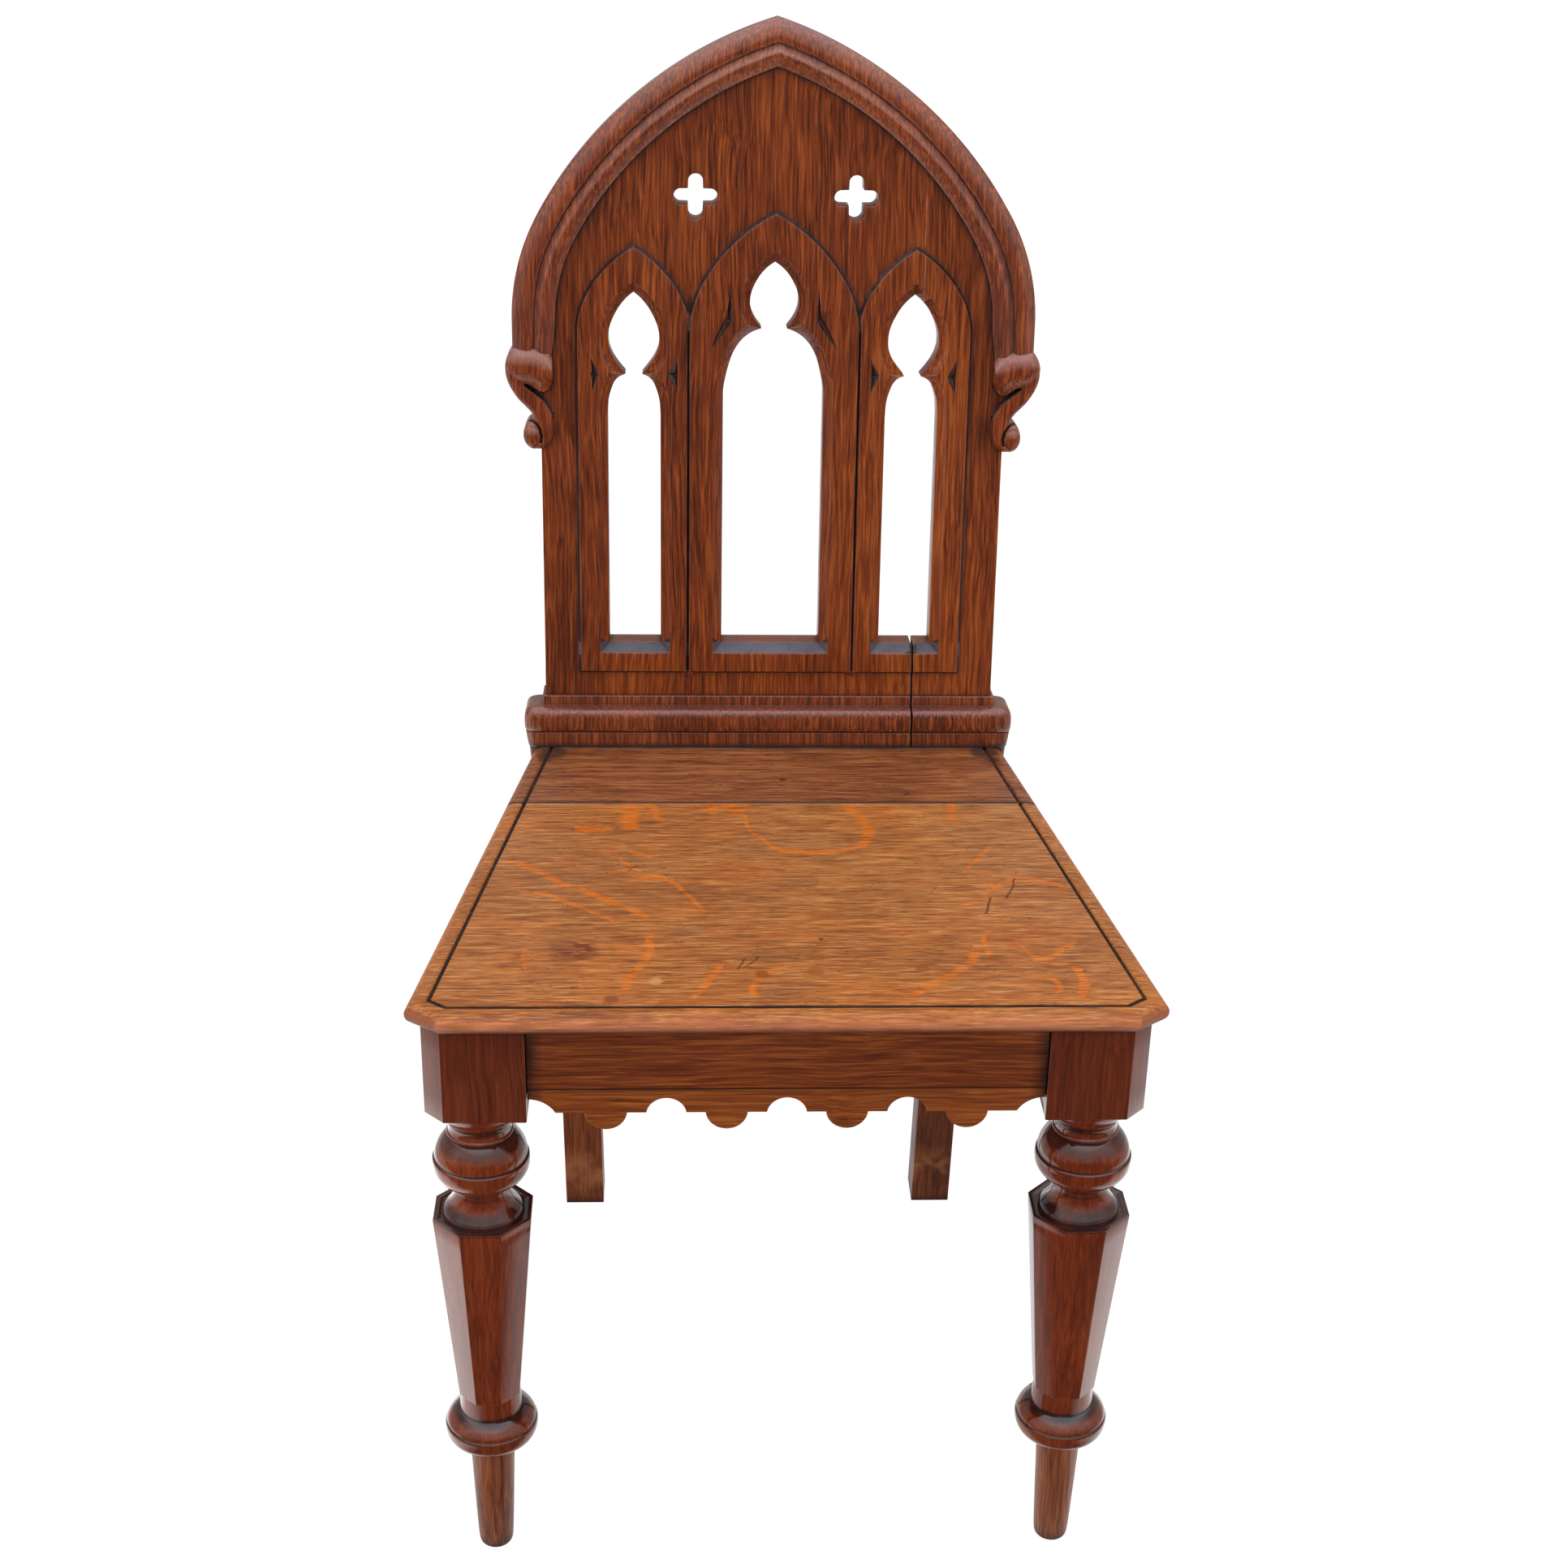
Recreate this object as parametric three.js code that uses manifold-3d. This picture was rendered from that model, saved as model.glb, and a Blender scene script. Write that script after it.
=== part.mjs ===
// A Gothic Revival hall chair in oak: a flat seat on two turned front legs and two
// splayed rear legs, with a raked back board pierced by three lancet openings.
// Millimetres, +Z up, +X to the sitter's left as seen from the front, +Y to the back.
// The solids are laid out with y = 0 at the seat's front edge and z = 0 on the floor.

import * as THREE from 'three';
import { mergeVertices } from 'three/addons/utils/BufferGeometryUtils.js';
import Module from 'manifold-3d';

const wasm = await Module();
wasm.setup();

// Overall sizes
const seatHeight = 422.3;
const seatWidth = 445;
const seatRearWidth = 333;
const seatDepth = 373.5;
const backHeight = 459;
const backRake = 5.74;

// Fitting
const gap = 0.3;
const overrun = 5;
const weldDistance = 0.0001;

// Seat boards
const seatThickness = 14;
const seatEdgeRadius = 5;
const seatEdgeSteps = 3;
const seatCornerWidth = 20;
const seatCornerDepth = 14.7;
const seatSeam = 280;
const borderInset = 12;
const borderWidth = 1.6;
const borderDepth = 1.2;

// Front legs
const blockWidth = 61;
const blockHeight = 62.5;
const blockSetback = 8.3;
const blockSideSetback = 8.3;
const blockChamfer = 12;
const pegLength = 90.5;
const pegTopRadius = 14.1;
const footTurningHeight = 36;
const footRingRadius = 29.2;
const octagonTopWidth = 59.8;
const octagonFootWidth = 37.8;
const octagonSides = 8;
const headTurningHeight = 81;
const headBallRadius = 29.5;
const turningSegments = 28;

// Turned profiles: [share of the length, share of the radius], from the lower end up
const pegShares = [[0, 0.6], [0.015, 0.7], [0.06, 0.78], [0.25, 0.84], [0.55, 0.89], [0.85, 0.95], [1, 1]];
const footShares = [
  [0, 0.86], [0.05, 0.94], [0.13, 0.99], [0.24, 1.01], [0.32, 1], [0.34, 0.98], [0.38, 0.96], [0.46, 0.91],
  [0.53, 0.84], [0.59, 0.76], [0.61, 0.68], [0.64, 0.67], [0.8, 0.66], [1, 0.64],
];
const headShares = [
  [0, 0.83], [0.02, 0.84], [0.05, 0.77], [0.09, 0.68], [0.13, 0.61], [0.18, 0.565], [0.222, 0.555], [0.226, 0.58],
  [0.245, 0.58], [0.25, 0.6], [0.275, 0.7], [0.305, 0.83], [0.345, 0.93], [0.39, 0.985], [0.44, 1], [0.485, 0.995],
  [0.495, 0.96], [0.53, 0.955], [0.58, 0.92], [0.63, 0.85], [0.67, 0.76], [0.695, 0.69], [0.7, 0.665],
  [0.715, 0.69], [0.735, 0.665], [0.745, 0.65], [0.8, 0.66], [0.83, 0.7], [0.86, 0.77], [0.91, 0.86], [0.96, 0.91],
  [1, 0.92],
];

// Rails and apron
const railHeight = 41;
const railThickness = 21;
const railSetback = 11;
const sideRailOverhang = 3;
const tenonLength = 25;
const rearTenonLength = 15;
const tenonThickness = 8;
const tenonShoulder = 5;
const apronSetback = 12.5;
const apronThickness = 12;
const apronFlatDrop = 17;
const scallopPitch = 35.65;
const notchHalfWidth = 11.8;
const notchRise = 10;
const lobeHalfWidth = 12.5;
const lobeDrop = 11.6;
const endNotchWidth = 16.2;
const endNotchRise = 9.5;
const scallopSteps = 8;

// Rear legs
const rearLegWidth = 29.5;
const rearLegDepth = 31;
const rearLegInset = 21.8;
const rearLegLean = 6.2;
const rearLegSplay = 31.7;
const uprightWidth = 25;
const uprightDepth = 18;
const uprightTop = 190;
const uprightSlope = 8;
const kneeRise = 55;
const uprightEdgeInset = 2;

// Back board, drawn in its own raked plane: x across, h up from the foot of the panel
const panelFootSetback = 9.1;
const panelFootRise = 36;
const boardThickness = 22;
const stileInset = 8.6;
const stileTop = 222;
const archOversail = 18.3;
const archFoot = 240;
const archSpringing = 263.3;
const archLowerRadius = 141;
const archTurn = Math.PI / 6;
const archSteps = 14;
const boardJoint = 100.2;

// Raised lancet frames and their openings
const lancetRise = 3.5;
const lancetFoot = 18.8;
const lancetSpringing = 254.2;
const middleLancetHalfWidth = 57;
const middleLancetRadius = 70.6;
const middleLancetHead = 80.5;
const sideLancetHalfWidth = 37.8;
const sideLancetRadius = 55.5;
const sideLancetHead = 57.7;
const lancetSteps = 6;
const grooveWidth = 2.4;
const grooveDepth = 2.5;
const grooveHead = 12;
const openingChamfer = 6.5;
const sillHeight = 37.5;
const middleOpeningHalfWidth = 34.2;
const middleOpeningHead = 302.5;
const sideOpeningHalfWidth = 18;
const sideOpeningHead = 281.7;

// Right half of each cusped head: [share of the half width, share of the height above the sill]
const middleHeadShares = [
  [1, 0.67], [0.98, 0.691], [0.92, 0.727], [0.835, 0.762], [0.72, 0.79], [0.585, 0.81], [0.42, 0.824], [0.252, 0.832],
  [0.345, 0.848], [0.43, 0.868], [0.478, 0.891], [0.47, 0.915], [0.41, 0.939], [0.29, 0.966], [0.15, 0.986],
];
const sideHeadShares = [
  [1, 0.66], [0.975, 0.692], [0.92, 0.714], [0.83, 0.736], [0.72, 0.753], [0.55, 0.766], [0.315, 0.774],
  [0.53, 0.793], [0.76, 0.818], [0.92, 0.847], [0.955, 0.872], [0.92, 0.897], [0.8, 0.924], [0.55, 0.958], [0.27, 0.983],
];

// Sunk darts beside the cusped heads and pierced quatrefoils above them
const dartDepth = 3;
const middleDartCentre = 35.5;
const middleDartFoot = 244.5;
const middleDartWidth = 14.5;
const middleDartHeight = 42;
const middleDartShares = [[0, 1], [0.06, 0.46], [1, 0], [0.62, 0.22], [0.33, 0.5], [0.13, 0.8]];
const sideDartReach = 26.5;
const sideDartFoot = 214;
const sideDartWidth = 5.5;
const sideDartHeight = 25;
const sideDartShares = [[0.9, 1], [0, 0.53], [1, 0], [0.62, 0.5]];
const quatrefoilSpread = 53.4;
const quatrefoilHeight = 345.1;
const quatrefoilReach = 14.6;
const quatrefoilLobe = 5;
const lobeSteps = 6;

// Arch moulding: section as [share of the width from the outer edge, share of the projection]
const archMouldingWidth = 28.2;
const archMouldingProjection = 8;
const archMouldingShares = [
  [0, 0], [0, 0.45], [0.05, 0.78], [0.17, 0.97], [0.31, 1], [0.43, 0.9], [0.54, 0.68], [0.6, 0.42], [0.68, 0.4],
  [0.73, 0.56], [0.8, 0.8], [0.88, 0.82], [0.95, 0.7], [1, 0.42], [1, 0],
];
const archMouldingSteps = 26;
const mitreOverrun = Math.PI / 36;

// Scrolls under the arch moulding
const scrollLap = 8.9;
const scrollFoot = 175.8;
const scrollWidth = 32.5;
const scrollHeight = 70.2;
const scrollProjection = 8.5;
const scrollThickness = 25;
const scrollBulbRadius = 14.5;
const scrollBulbProjection = 13;
const scrollBulbShares = [0.5, 0.78];
const scrollShares = [
  [0.05, 0.92], [0.15, 0.957], [0.345, 0.986], [0.585, 1], [0.8, 0.987], [0.92, 0.925], [0.98, 0.835], [1, 0.758],
  [0.966, 0.682], [0.88, 0.581], [0.75, 0.49], [0.603, 0.417], [0.489, 0.362], [0.437, 0.308], [0.535, 0.281],
  [0.612, 0.225], [0.652, 0.157], [0.62, 0.078], [0.508, 0.017], [0.363, 0], [0.23, 0.007], [0.1, 0.054],
  [0.028, 0.124], [0, 0.202], [0.006, 0.296], [0.043, 0.387], [0.154, 0.452], [0.292, 0.513], [0.446, 0.567],
  [0.578, 0.618], [0.455, 0.6125], [0.338, 0.59], [0.23, 0.6], [0.13, 0.634], [0.052, 0.714], [0.02, 0.805],
  [0.034, 0.876],
];

// Base moulding round the foot of the back
const baseBandFront = 5.4;
const baseBandSide = 9.1;
const baseTorusRadius = 9;
const baseTorusFront = 2.4;
const baseTorusSide = 6;
const baseTorusHeight = 16.5;
const baseFilletProjection = 2.5;
const baseFilletTop = 2;
const baseDrop = 11.5;
const baseTorusSteps = 10;
const baseTorusTurn = Math.PI * 70 / 180;

// Hidden blocks and screws
const glueBlockLeg = 28;
const glueBlockHeight = 33;
const rearRailDepth = 22;
const screwHeadRadius = 4.2;
const screwHeadLength = 3;
const screwRadius = 2.1;
const screwTipLength = 4;
const screwSegments = 12;
const seatScrewBite = 8;
const backScrewBite = 14;
const backScrewHeights = [35, 150];
const backScrewSpan = 143;

// Derived levels and lines
const rake = THREE.MathUtils.degToRad(backRake);
const seatUnderside = seatHeight - seatThickness;
const frameTop = seatUnderside - gap;
const railFoot = frameTop - railHeight;
const blockFoot = frameTop - blockHeight;
const octagonTop = blockFoot - headTurningHeight;
const octagonFoot = pegLength + footTurningHeight;
const octagonLength = octagonTop - octagonFoot;
const blockOuter = seatWidth / 2 - blockSideSetback;
const blockInner = blockOuter - blockWidth;
const legHalfSpan = blockOuter - blockWidth / 2;
const blockBack = blockSetback + blockWidth;
const legAxisDepth = blockSetback + blockWidth / 2;
const seatTaper = (seatWidth - seatRearWidth) / 2 / (seatDepth - seatCornerDepth);
const taperStretch = Math.hypot(1, seatTaper);
const footLineDepth = seatDepth + panelFootSetback;
const footLineHeight = seatHeight + panelFootRise;
const rearFootDepth = footLineDepth + rearLegSplay;
const rearLegTopHalfSpan = seatRearWidth / 2 - rearLegInset;
const rearFootHalfSpan = rearLegTopHalfSpan - rearLegLean;
const stileHalfWidth = seatRearWidth / 2 - stileInset;
const archHalfWidth = stileHalfWidth + archOversail;
const scrollInner = stileHalfWidth - scrollLap;

// Shape helpers

function outlineShape(points) {
  return new THREE.Shape(points.map(([x, y]) => new THREE.Vector2(x, y)));
}

// A plate drawn in plan, standing from one level to another.
function planPlate(points, low, high) {
  const geometry = new THREE.ExtrudeGeometry(outlineShape(points), { depth: high - low, bevelEnabled: false });
  return geometry.translate(0, 0, low);
}

// A plate drawn across and up, running back from its front face.
function frontPlate(points, front, thickness) {
  const geometry = new THREE.ExtrudeGeometry(outlineShape(points), { depth: thickness, bevelEnabled: false });
  return geometry.rotateX(Math.PI / 2).translate(0, front + thickness, 0);
}

// A plate drawn in depth and height, running from one x to another.
function sidePlate(points, left, right) {
  const geometry = new THREE.ExtrudeGeometry(outlineShape(points), { depth: right - left, bevelEnabled: false });
  const turn = new THREE.Matrix4().makeBasis(
    new THREE.Vector3(0, 1, 0), new THREE.Vector3(0, 0, 1), new THREE.Vector3(1, 0, 0));
  return geometry.applyMatrix4(turn).translate(left, 0, 0);
}

function boxBetween(low, high) {
  const [x0, y0, z0] = low;
  const [x1, y1, z1] = high;
  return planPlate([[x0, y0], [x1, y0], [x1, y1], [x0, y1]], z0, z1);
}

// A turning on the z axis from [radius, height] points that start and end on the axis.
function turned(points, segments) {
  const profile = points.map(([radius, height]) => new THREE.Vector2(radius, height));
  return new THREE.LatheGeometry(profile, segments).rotateX(Math.PI / 2);
}

function mirrored(geometry) {
  const copy = mergeVertices(geometry, weldDistance).scale(-1, 1, 1);
  const index = copy.index.array;
  for (let i = 0; i < index.length; i += 3) {
    const first = index[i];
    index[i] = index[i + 1];
    index[i + 1] = first;
  }
  return copy;
}

function solidOf(geometry) {
  const plain = geometry.clone();
  plain.deleteAttribute('normal');
  plain.deleteAttribute('uv');
  const welded = mergeVertices(plain, weldDistance);
  return new wasm.Manifold(new wasm.Mesh({
    numProp: 3,
    vertProperties: new Float32Array(welded.attributes.position.array),
    triVerts: new Uint32Array(welded.index.array),
  }));
}

function geometryOf(solid) {
  const mesh = solid.getMesh();
  const geometry = new THREE.BufferGeometry();
  geometry.setAttribute('position', new THREE.BufferAttribute(mesh.vertProperties, 3));
  geometry.setIndex(new THREE.BufferAttribute(mesh.triVerts, 1));
  geometry.computeVertexNormals();
  return geometry;
}

function joined(geometries) {
  return geometryOf(geometries.map(solidOf).reduce((whole, solid) => whole.add(solid)));
}

function cut(geometry, cutters) {
  return geometryOf(cutters.map(solidOf).reduce((whole, solid) => whole.subtract(solid), solidOf(geometry)));
}

function common(geometry, limit) {
  return geometryOf(solidOf(geometry).intersect(solidOf(limit)));
}

// Points on a shallow arc between two places on one level; a positive rise bows it upwards.
function bowPoints(start, end, level, rise) {
  const half = (end - start) / 2;
  const radius = (half * half + rise * rise) / (2 * Math.abs(rise));
  const spread = Math.asin(half / radius);
  const centre = level + rise - Math.sign(rise) * radius;
  return Array.from({ length: scallopSteps + 1 }, (_, i) => {
    const angle = spread * (2 * i / scallopSteps - 1);
    return [(start + end) / 2 + radius * Math.sin(angle), centre + Math.sign(rise) * radius * Math.cos(angle)];
  });
}

// The two circles that one side of a pointed arch is struck from.
function archCircles(halfWidth, rise, lowerRadius) {
  const reach = halfWidth - lowerRadius;
  const cosTurn = Math.cos(archTurn);
  const sinTurn = Math.sin(archTurn);
  const numerator = reach * reach + rise * rise - lowerRadius * lowerRadius;
  const extra = numerator / (2 * (lowerRadius + reach * cosTurn - rise * sinTurn));
  return {
    lower: [reach, 0, lowerRadius],
    upper: [reach - extra * cosTurn, -extra * sinTurn, lowerRadius + extra],
  };
}

// Right side of a pointed arch, from the springing to the apex, moved inwards by an inset.
function archSide(circles, inset, steps) {
  const [lowerX, lowerH, lowerRadius] = circles.lower;
  const [upperX, upperH, upperRadius] = circles.upper;
  const apexAngle = Math.acos(-upperX / (upperRadius - inset));
  const points = [];
  for (let i = 0; i <= steps; i += 1) {
    const angle = archTurn * i / steps;
    points.push([lowerX + (lowerRadius - inset) * Math.cos(angle), lowerH + (lowerRadius - inset) * Math.sin(angle)]);
  }
  for (let i = 1; i <= steps; i += 1) {
    const angle = archTurn + (apexAngle - archTurn) * i / steps;
    points.push([upperX + (upperRadius - inset) * Math.cos(angle), upperH + (upperRadius - inset) * Math.sin(angle)]);
  }
  return points;
}

// Closes a right-hand half outline, whose last point is on the centre line, into a whole one.
function bothSides(rightHalf, centre) {
  const left = rightHalf.slice(0, -1).reverse().map(([x, h]) => [-x, h]);
  return [...rightHalf, ...left].map(([x, h]) => [centre + x, h]);
}

function placed(shares, left, foot, width, height) {
  return shares.map(([across, up]) => [left + across * width, foot + up * height]);
}

// Seat

function seatEdgeAt(depth) {
  return seatWidth / 2 - seatTaper * (depth - seatCornerDepth);
}

function seatOutline(inset, rear) {
  const cornerX = seatWidth / 2 - seatCornerWidth;
  const sideInset = inset * taperStretch;
  const cornerInset = inset * Math.tan(Math.atan2(seatCornerWidth, seatCornerDepth) / 2);
  const right = [
    [cornerX - cornerInset * seatCornerDepth / seatCornerWidth, inset],
    [seatEdgeAt(seatCornerDepth) - sideInset, seatCornerDepth + cornerInset],
    [seatEdgeAt(rear) - sideInset, rear],
  ];
  return [...right, ...right.slice().reverse().map(([x, y]) => [-x, y])];
}

const backFrame = new THREE.Matrix4().makeRotationX(-rake).setPosition(0, footLineDepth, footLineHeight);

// Depth and height of a place in the raked frame, given how far behind the panel it is and how far up.
function backPoint(behind, up) {
  const point = new THREE.Vector3(0, behind, up).applyMatrix4(backFrame);
  return [point.y, point.z];
}

// How far up the raked frame a level lies, at a given distance behind the panel.
function backLevel(level, behind) {
  return (level - footLineHeight + behind * Math.sin(rake)) / Math.cos(rake);
}

const behindSeat = boxBetween(
  [-seatWidth, -baseBandFront - gap, -backHeight],
  [seatWidth, seatDepth, backHeight]).applyMatrix4(backFrame);

function seatBoard(front, rear) {
  const blank = new THREE.ExtrudeGeometry(outlineShape(seatOutline(0, seatDepth + boardThickness)), {
    depth: seatThickness - 2 * seatEdgeRadius,
    bevelThickness: seatEdgeRadius,
    bevelSize: seatEdgeRadius,
    bevelOffset: -seatEdgeRadius,
    bevelSegments: seatEdgeSteps,
  }).translate(0, 0, seatUnderside + seatEdgeRadius);
  const border = cut(
    planPlate(seatOutline(borderInset, seatDepth + boardThickness), seatHeight - borderDepth, seatHeight + overrun),
    [planPlate(seatOutline(borderInset + borderWidth, seatDepth + 2 * boardThickness),
      seatUnderside, seatHeight + 2 * overrun)]);
  const keep = boxBetween([-seatWidth, front, seatUnderside - overrun], [seatWidth, rear, seatHeight + overrun]);
  return common(cut(blank, [border, behindSeat]), keep);
}

// Front legs

function octagonPost() {
  const spread = 1 / Math.cos(Math.PI / octagonSides);
  const post = new THREE.CylinderGeometry(
    octagonTopWidth / 2 * spread, octagonFootWidth / 2 * spread, octagonLength, octagonSides);
  return post.rotateX(Math.PI / 2).rotateZ(Math.PI / octagonSides).translate(0, 0, octagonFoot + octagonLength / 2);
}

function legTurning() {
  const core = pegTopRadius;
  const points = [
    [0, 0],
    ...pegShares.map(([up, out]) => [out * pegTopRadius, up * pegLength]),
    ...footShares.map(([up, out]) => [out * footRingRadius, pegLength + up * footTurningHeight]),
    [core, octagonFoot + overrun],
    [core, octagonTop - overrun],
    ...headShares.map(([up, out]) => [out * headBallRadius, octagonTop + up * headTurningHeight]),
    [core, blockFoot + overrun],
    [0, blockFoot + overrun],
  ];
  return turned(points, turningSegments);
}

function legBlock() {
  const half = blockWidth / 2;
  return planPlate(
    [[-half, -half], [half - blockChamfer, -half], [half, -half + blockChamfer], [half, half], [-half, half]],
    blockFoot, frameTop);
}

function frontLegBlank() {
  return joined([legTurning(), octagonPost(), legBlock()]).translate(legHalfSpan, legAxisDepth, 0);
}

// Rails, each with a tenon strip through its middle; extra widens a strip into its mortise

function railOuterAt(depth) {
  return seatEdgeAt(depth) - sideRailOverhang * taperStretch;
}

function railInnerAt(depth) {
  return railOuterAt(depth) - railThickness * taperStretch;
}

const rearLegFront = backPoint(boardThickness + gap, backLevel(frameTop, boardThickness))[0];

function frontTenon(extra) {
  const middle = railSetback + railThickness / 2;
  const half = tenonThickness / 2 + extra;
  const reach = blockInner + tenonLength + extra;
  return boxBetween(
    [-reach, middle - half, railFoot + tenonShoulder - extra],
    [reach, middle + half, frameTop - tenonShoulder + extra]);
}

function sideTenon(extra) {
  const front = blockBack - tenonLength - extra;
  const rear = rearLegFront + rearTenonLength + extra;
  const half = (tenonThickness / 2 + extra) * taperStretch;
  const middleAt = (depth) => (railOuterAt(depth) + railInnerAt(depth)) / 2;
  return planPlate(
    [[middleAt(front) - half, front], [middleAt(front) + half, front],
      [middleAt(rear) + half, rear], [middleAt(rear) - half, rear]],
    railFoot + tenonShoulder - extra, frameTop - tenonShoulder + extra);
}

function sideRailBody(extra) {
  const front = blockBack + gap;
  const rear = rearLegFront + rearTenonLength;
  const side = extra * taperStretch;
  return planPlate(
    [[railInnerAt(front) - side, front], [railOuterAt(front) + side, front],
      [railOuterAt(rear) + side, rear], [railInnerAt(rear) - side, rear]],
    railFoot - extra, frameTop + extra);
}

// Right rear leg: a splayed leg with a raked upright that runs on behind the back board.
function rearLegBlank(extra) {
  const bend = backLevel(frameTop, boardThickness);
  const face = boardThickness + gap - extra;
  const knee = [
    [rearFootDepth - extra, -extra],
    backPoint(face, bend),
    backPoint(face + uprightDepth, bend + kneeRise),
    backPoint(boardThickness + gap + rearLegDepth + extra, bend),
    [rearFootDepth + rearLegDepth + extra, -extra],
  ];
  const half = rearLegWidth / 2 + extra;
  const lower = sidePlate(knee, -half, half);
  const lean = (rearLegTopHalfSpan - rearFootHalfSpan) / frameTop;
  lower.applyMatrix4(new THREE.Matrix4().makeShear(0, 0, 0, 0, lean, 0));
  lower.translate(rearFootHalfSpan, 0, 0);
  const outer = stileHalfWidth - uprightEdgeInset;
  const upright = sidePlate(
    [backPoint(face, bend), backPoint(face, uprightTop), backPoint(face + uprightDepth, uprightTop - uprightSlope),
      backPoint(face + uprightDepth, bend + kneeRise), backPoint(boardThickness + gap + rearLegDepth, bend)],
    outer - uprightWidth, outer);
  return joined([lower, upright]);
}

const rearRailFront = seatDepth - rearRailDepth;

function rearRailBlank() {
  const foot = backLevel(railFoot, 0);
  const top = backLevel(frameTop, 0);
  const profile = [[rearRailFront, railFoot], backPoint(-gap, foot), backPoint(-gap, top), [rearRailFront, frameTop]];
  return sidePlate(profile, -railInnerAt(rearRailFront), railInnerAt(rearRailFront));
}

// Scalloped apron under the front rail, drawn across and up.
function apronOutline() {
  const level = railFoot - gap - apronFlatDrop;
  const reach = blockInner - gap;
  const right = [...bowPoints(-notchHalfWidth, notchHalfWidth, level, notchRise).slice(scallopSteps / 2)];
  for (let i = 1; i < reach / scallopPitch - 1; i += 1) {
    const centre = i * scallopPitch;
    const half = i % 2 ? lobeHalfWidth : notchHalfWidth;
    const rise = i % 2 ? -lobeDrop : notchRise;
    right.push(...bowPoints(centre - half, centre + half, level, rise));
  }
  const cove = bowPoints(reach - endNotchWidth, reach + endNotchWidth, level, endNotchRise);
  right.push(...cove.slice(0, scallopSteps / 2 + 1));
  right.push([reach, railFoot - gap]);
  const left = right.slice(1).reverse().map(([x, h]) => [-x, h]);
  return [...left, ...right];
}

// Back board

const archShape = archCircles(archHalfWidth, backHeight - archSpringing, archLowerRadius);

// Board outline without its openings; extra grows it into a cutter for what fits round it.
function boardOutline(extra) {
  const shoulder = backLevel(frameTop + gap, boardThickness) - extra;
  const tongueHalfWidth = railInnerAt(rearLegFront) - gap * taperStretch + extra;
  const foot = backLevel(railFoot, boardThickness) - extra;
  const arch = archSide(archShape, -extra, archSteps).map(([x, h]) => [x, archSpringing + h]);
  const right = [
    [tongueHalfWidth, foot], [tongueHalfWidth, shoulder], [stileHalfWidth + extra, shoulder],
    [stileHalfWidth + extra, stileTop], [archHalfWidth + extra, archFoot], ...arch,
  ];
  return bothSides(right, 0);
}

function lancetOutline(centre, halfWidth, head, radius) {
  const circles = archCircles(halfWidth, head, radius);
  const side = archSide(circles, 0, lancetSteps).map(([x, h]) => [x, lancetSpringing + h]);
  return bothSides([[halfWidth, lancetFoot], ...side], centre);
}

function openingOutline(centre, halfWidth, head, headShares) {
  const rise = head - sillHeight;
  const side = headShares.map(([across, up]) => [across * halfWidth, sillHeight + up * rise]);
  return bothSides([[halfWidth, sillHeight], ...side, [0, head]], centre);
}

// Cuts an opening right through, with a chamfer round its front edge.
function openingCutters(outline) {
  const through = frontPlate(outline, -overrun, boardThickness + 2 * overrun);
  const splay = new THREE.ExtrudeGeometry(outlineShape(outline), {
    depth: overrun,
    bevelThickness: openingChamfer,
    bevelSize: openingChamfer,
    bevelSegments: 1,
  }).rotateX(Math.PI / 2).translate(0, -lancetRise, 0);
  return [through, splay];
}

function roundedBar(centre, height, reachX, reachH) {
  const points = [];
  const count = 4 * lobeSteps;
  for (let i = 0; i < count; i += 1) {
    const angle = 2 * Math.PI * (i + 1 / 2) / count;
    const x = Math.cos(angle);
    const h = Math.sin(angle);
    points.push([
      centre + quatrefoilLobe * x + Math.sign(x) * (reachX - quatrefoilLobe),
      height + quatrefoilLobe * h + Math.sign(h) * (reachH - quatrefoilLobe),
    ]);
  }
  return points;
}

const lancets = [
  { centre: 0, halfWidth: middleLancetHalfWidth, head: middleLancetHead, radius: middleLancetRadius },
  ...[-1, 1].map((side) => ({
    centre: side * (middleLancetHalfWidth + sideLancetHalfWidth),
    halfWidth: sideLancetHalfWidth,
    head: sideLancetHead,
    radius: sideLancetRadius,
  })),
];

const openings = lancets.map(({ centre }) => (centre === 0
  ? openingOutline(centre, middleOpeningHalfWidth, middleOpeningHead, middleHeadShares)
  : openingOutline(centre, sideOpeningHalfWidth, sideOpeningHead, sideHeadShares)));

function dartCutters() {
  const cutters = [];
  const front = -lancetRise - overrun;
  const middle = placed(
    middleDartShares, middleDartCentre - middleDartWidth / 2, middleDartFoot, middleDartWidth, middleDartHeight);
  const sideCentre = middleLancetHalfWidth + sideLancetHalfWidth;
  const outer = placed(sideDartShares, sideCentre + sideDartReach - sideDartWidth / 2, sideDartFoot,
    sideDartWidth, sideDartHeight);
  const inner = outer.map(([x, h]) => [2 * sideCentre - x, h]);
  for (const outline of [middle, outer, inner]) {
    const plate = frontPlate(outline, front, overrun + dartDepth);
    cutters.push(plate, frontPlate(outline.map(([x, h]) => [-x, h]), front, overrun + dartDepth));
  }
  return cutters;
}

function quatrefoilCutters() {
  const depth = boardThickness + 2 * overrun;
  return [-1, 1].flatMap((side) => {
    const x = side * quatrefoilSpread;
    return [
      frontPlate(roundedBar(x, quatrefoilHeight, quatrefoilReach, quatrefoilLobe), -overrun, depth),
      frontPlate(roundedBar(x, quatrefoilHeight, quatrefoilLobe, quatrefoilReach), -overrun, depth),
    ];
  });
}

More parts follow.
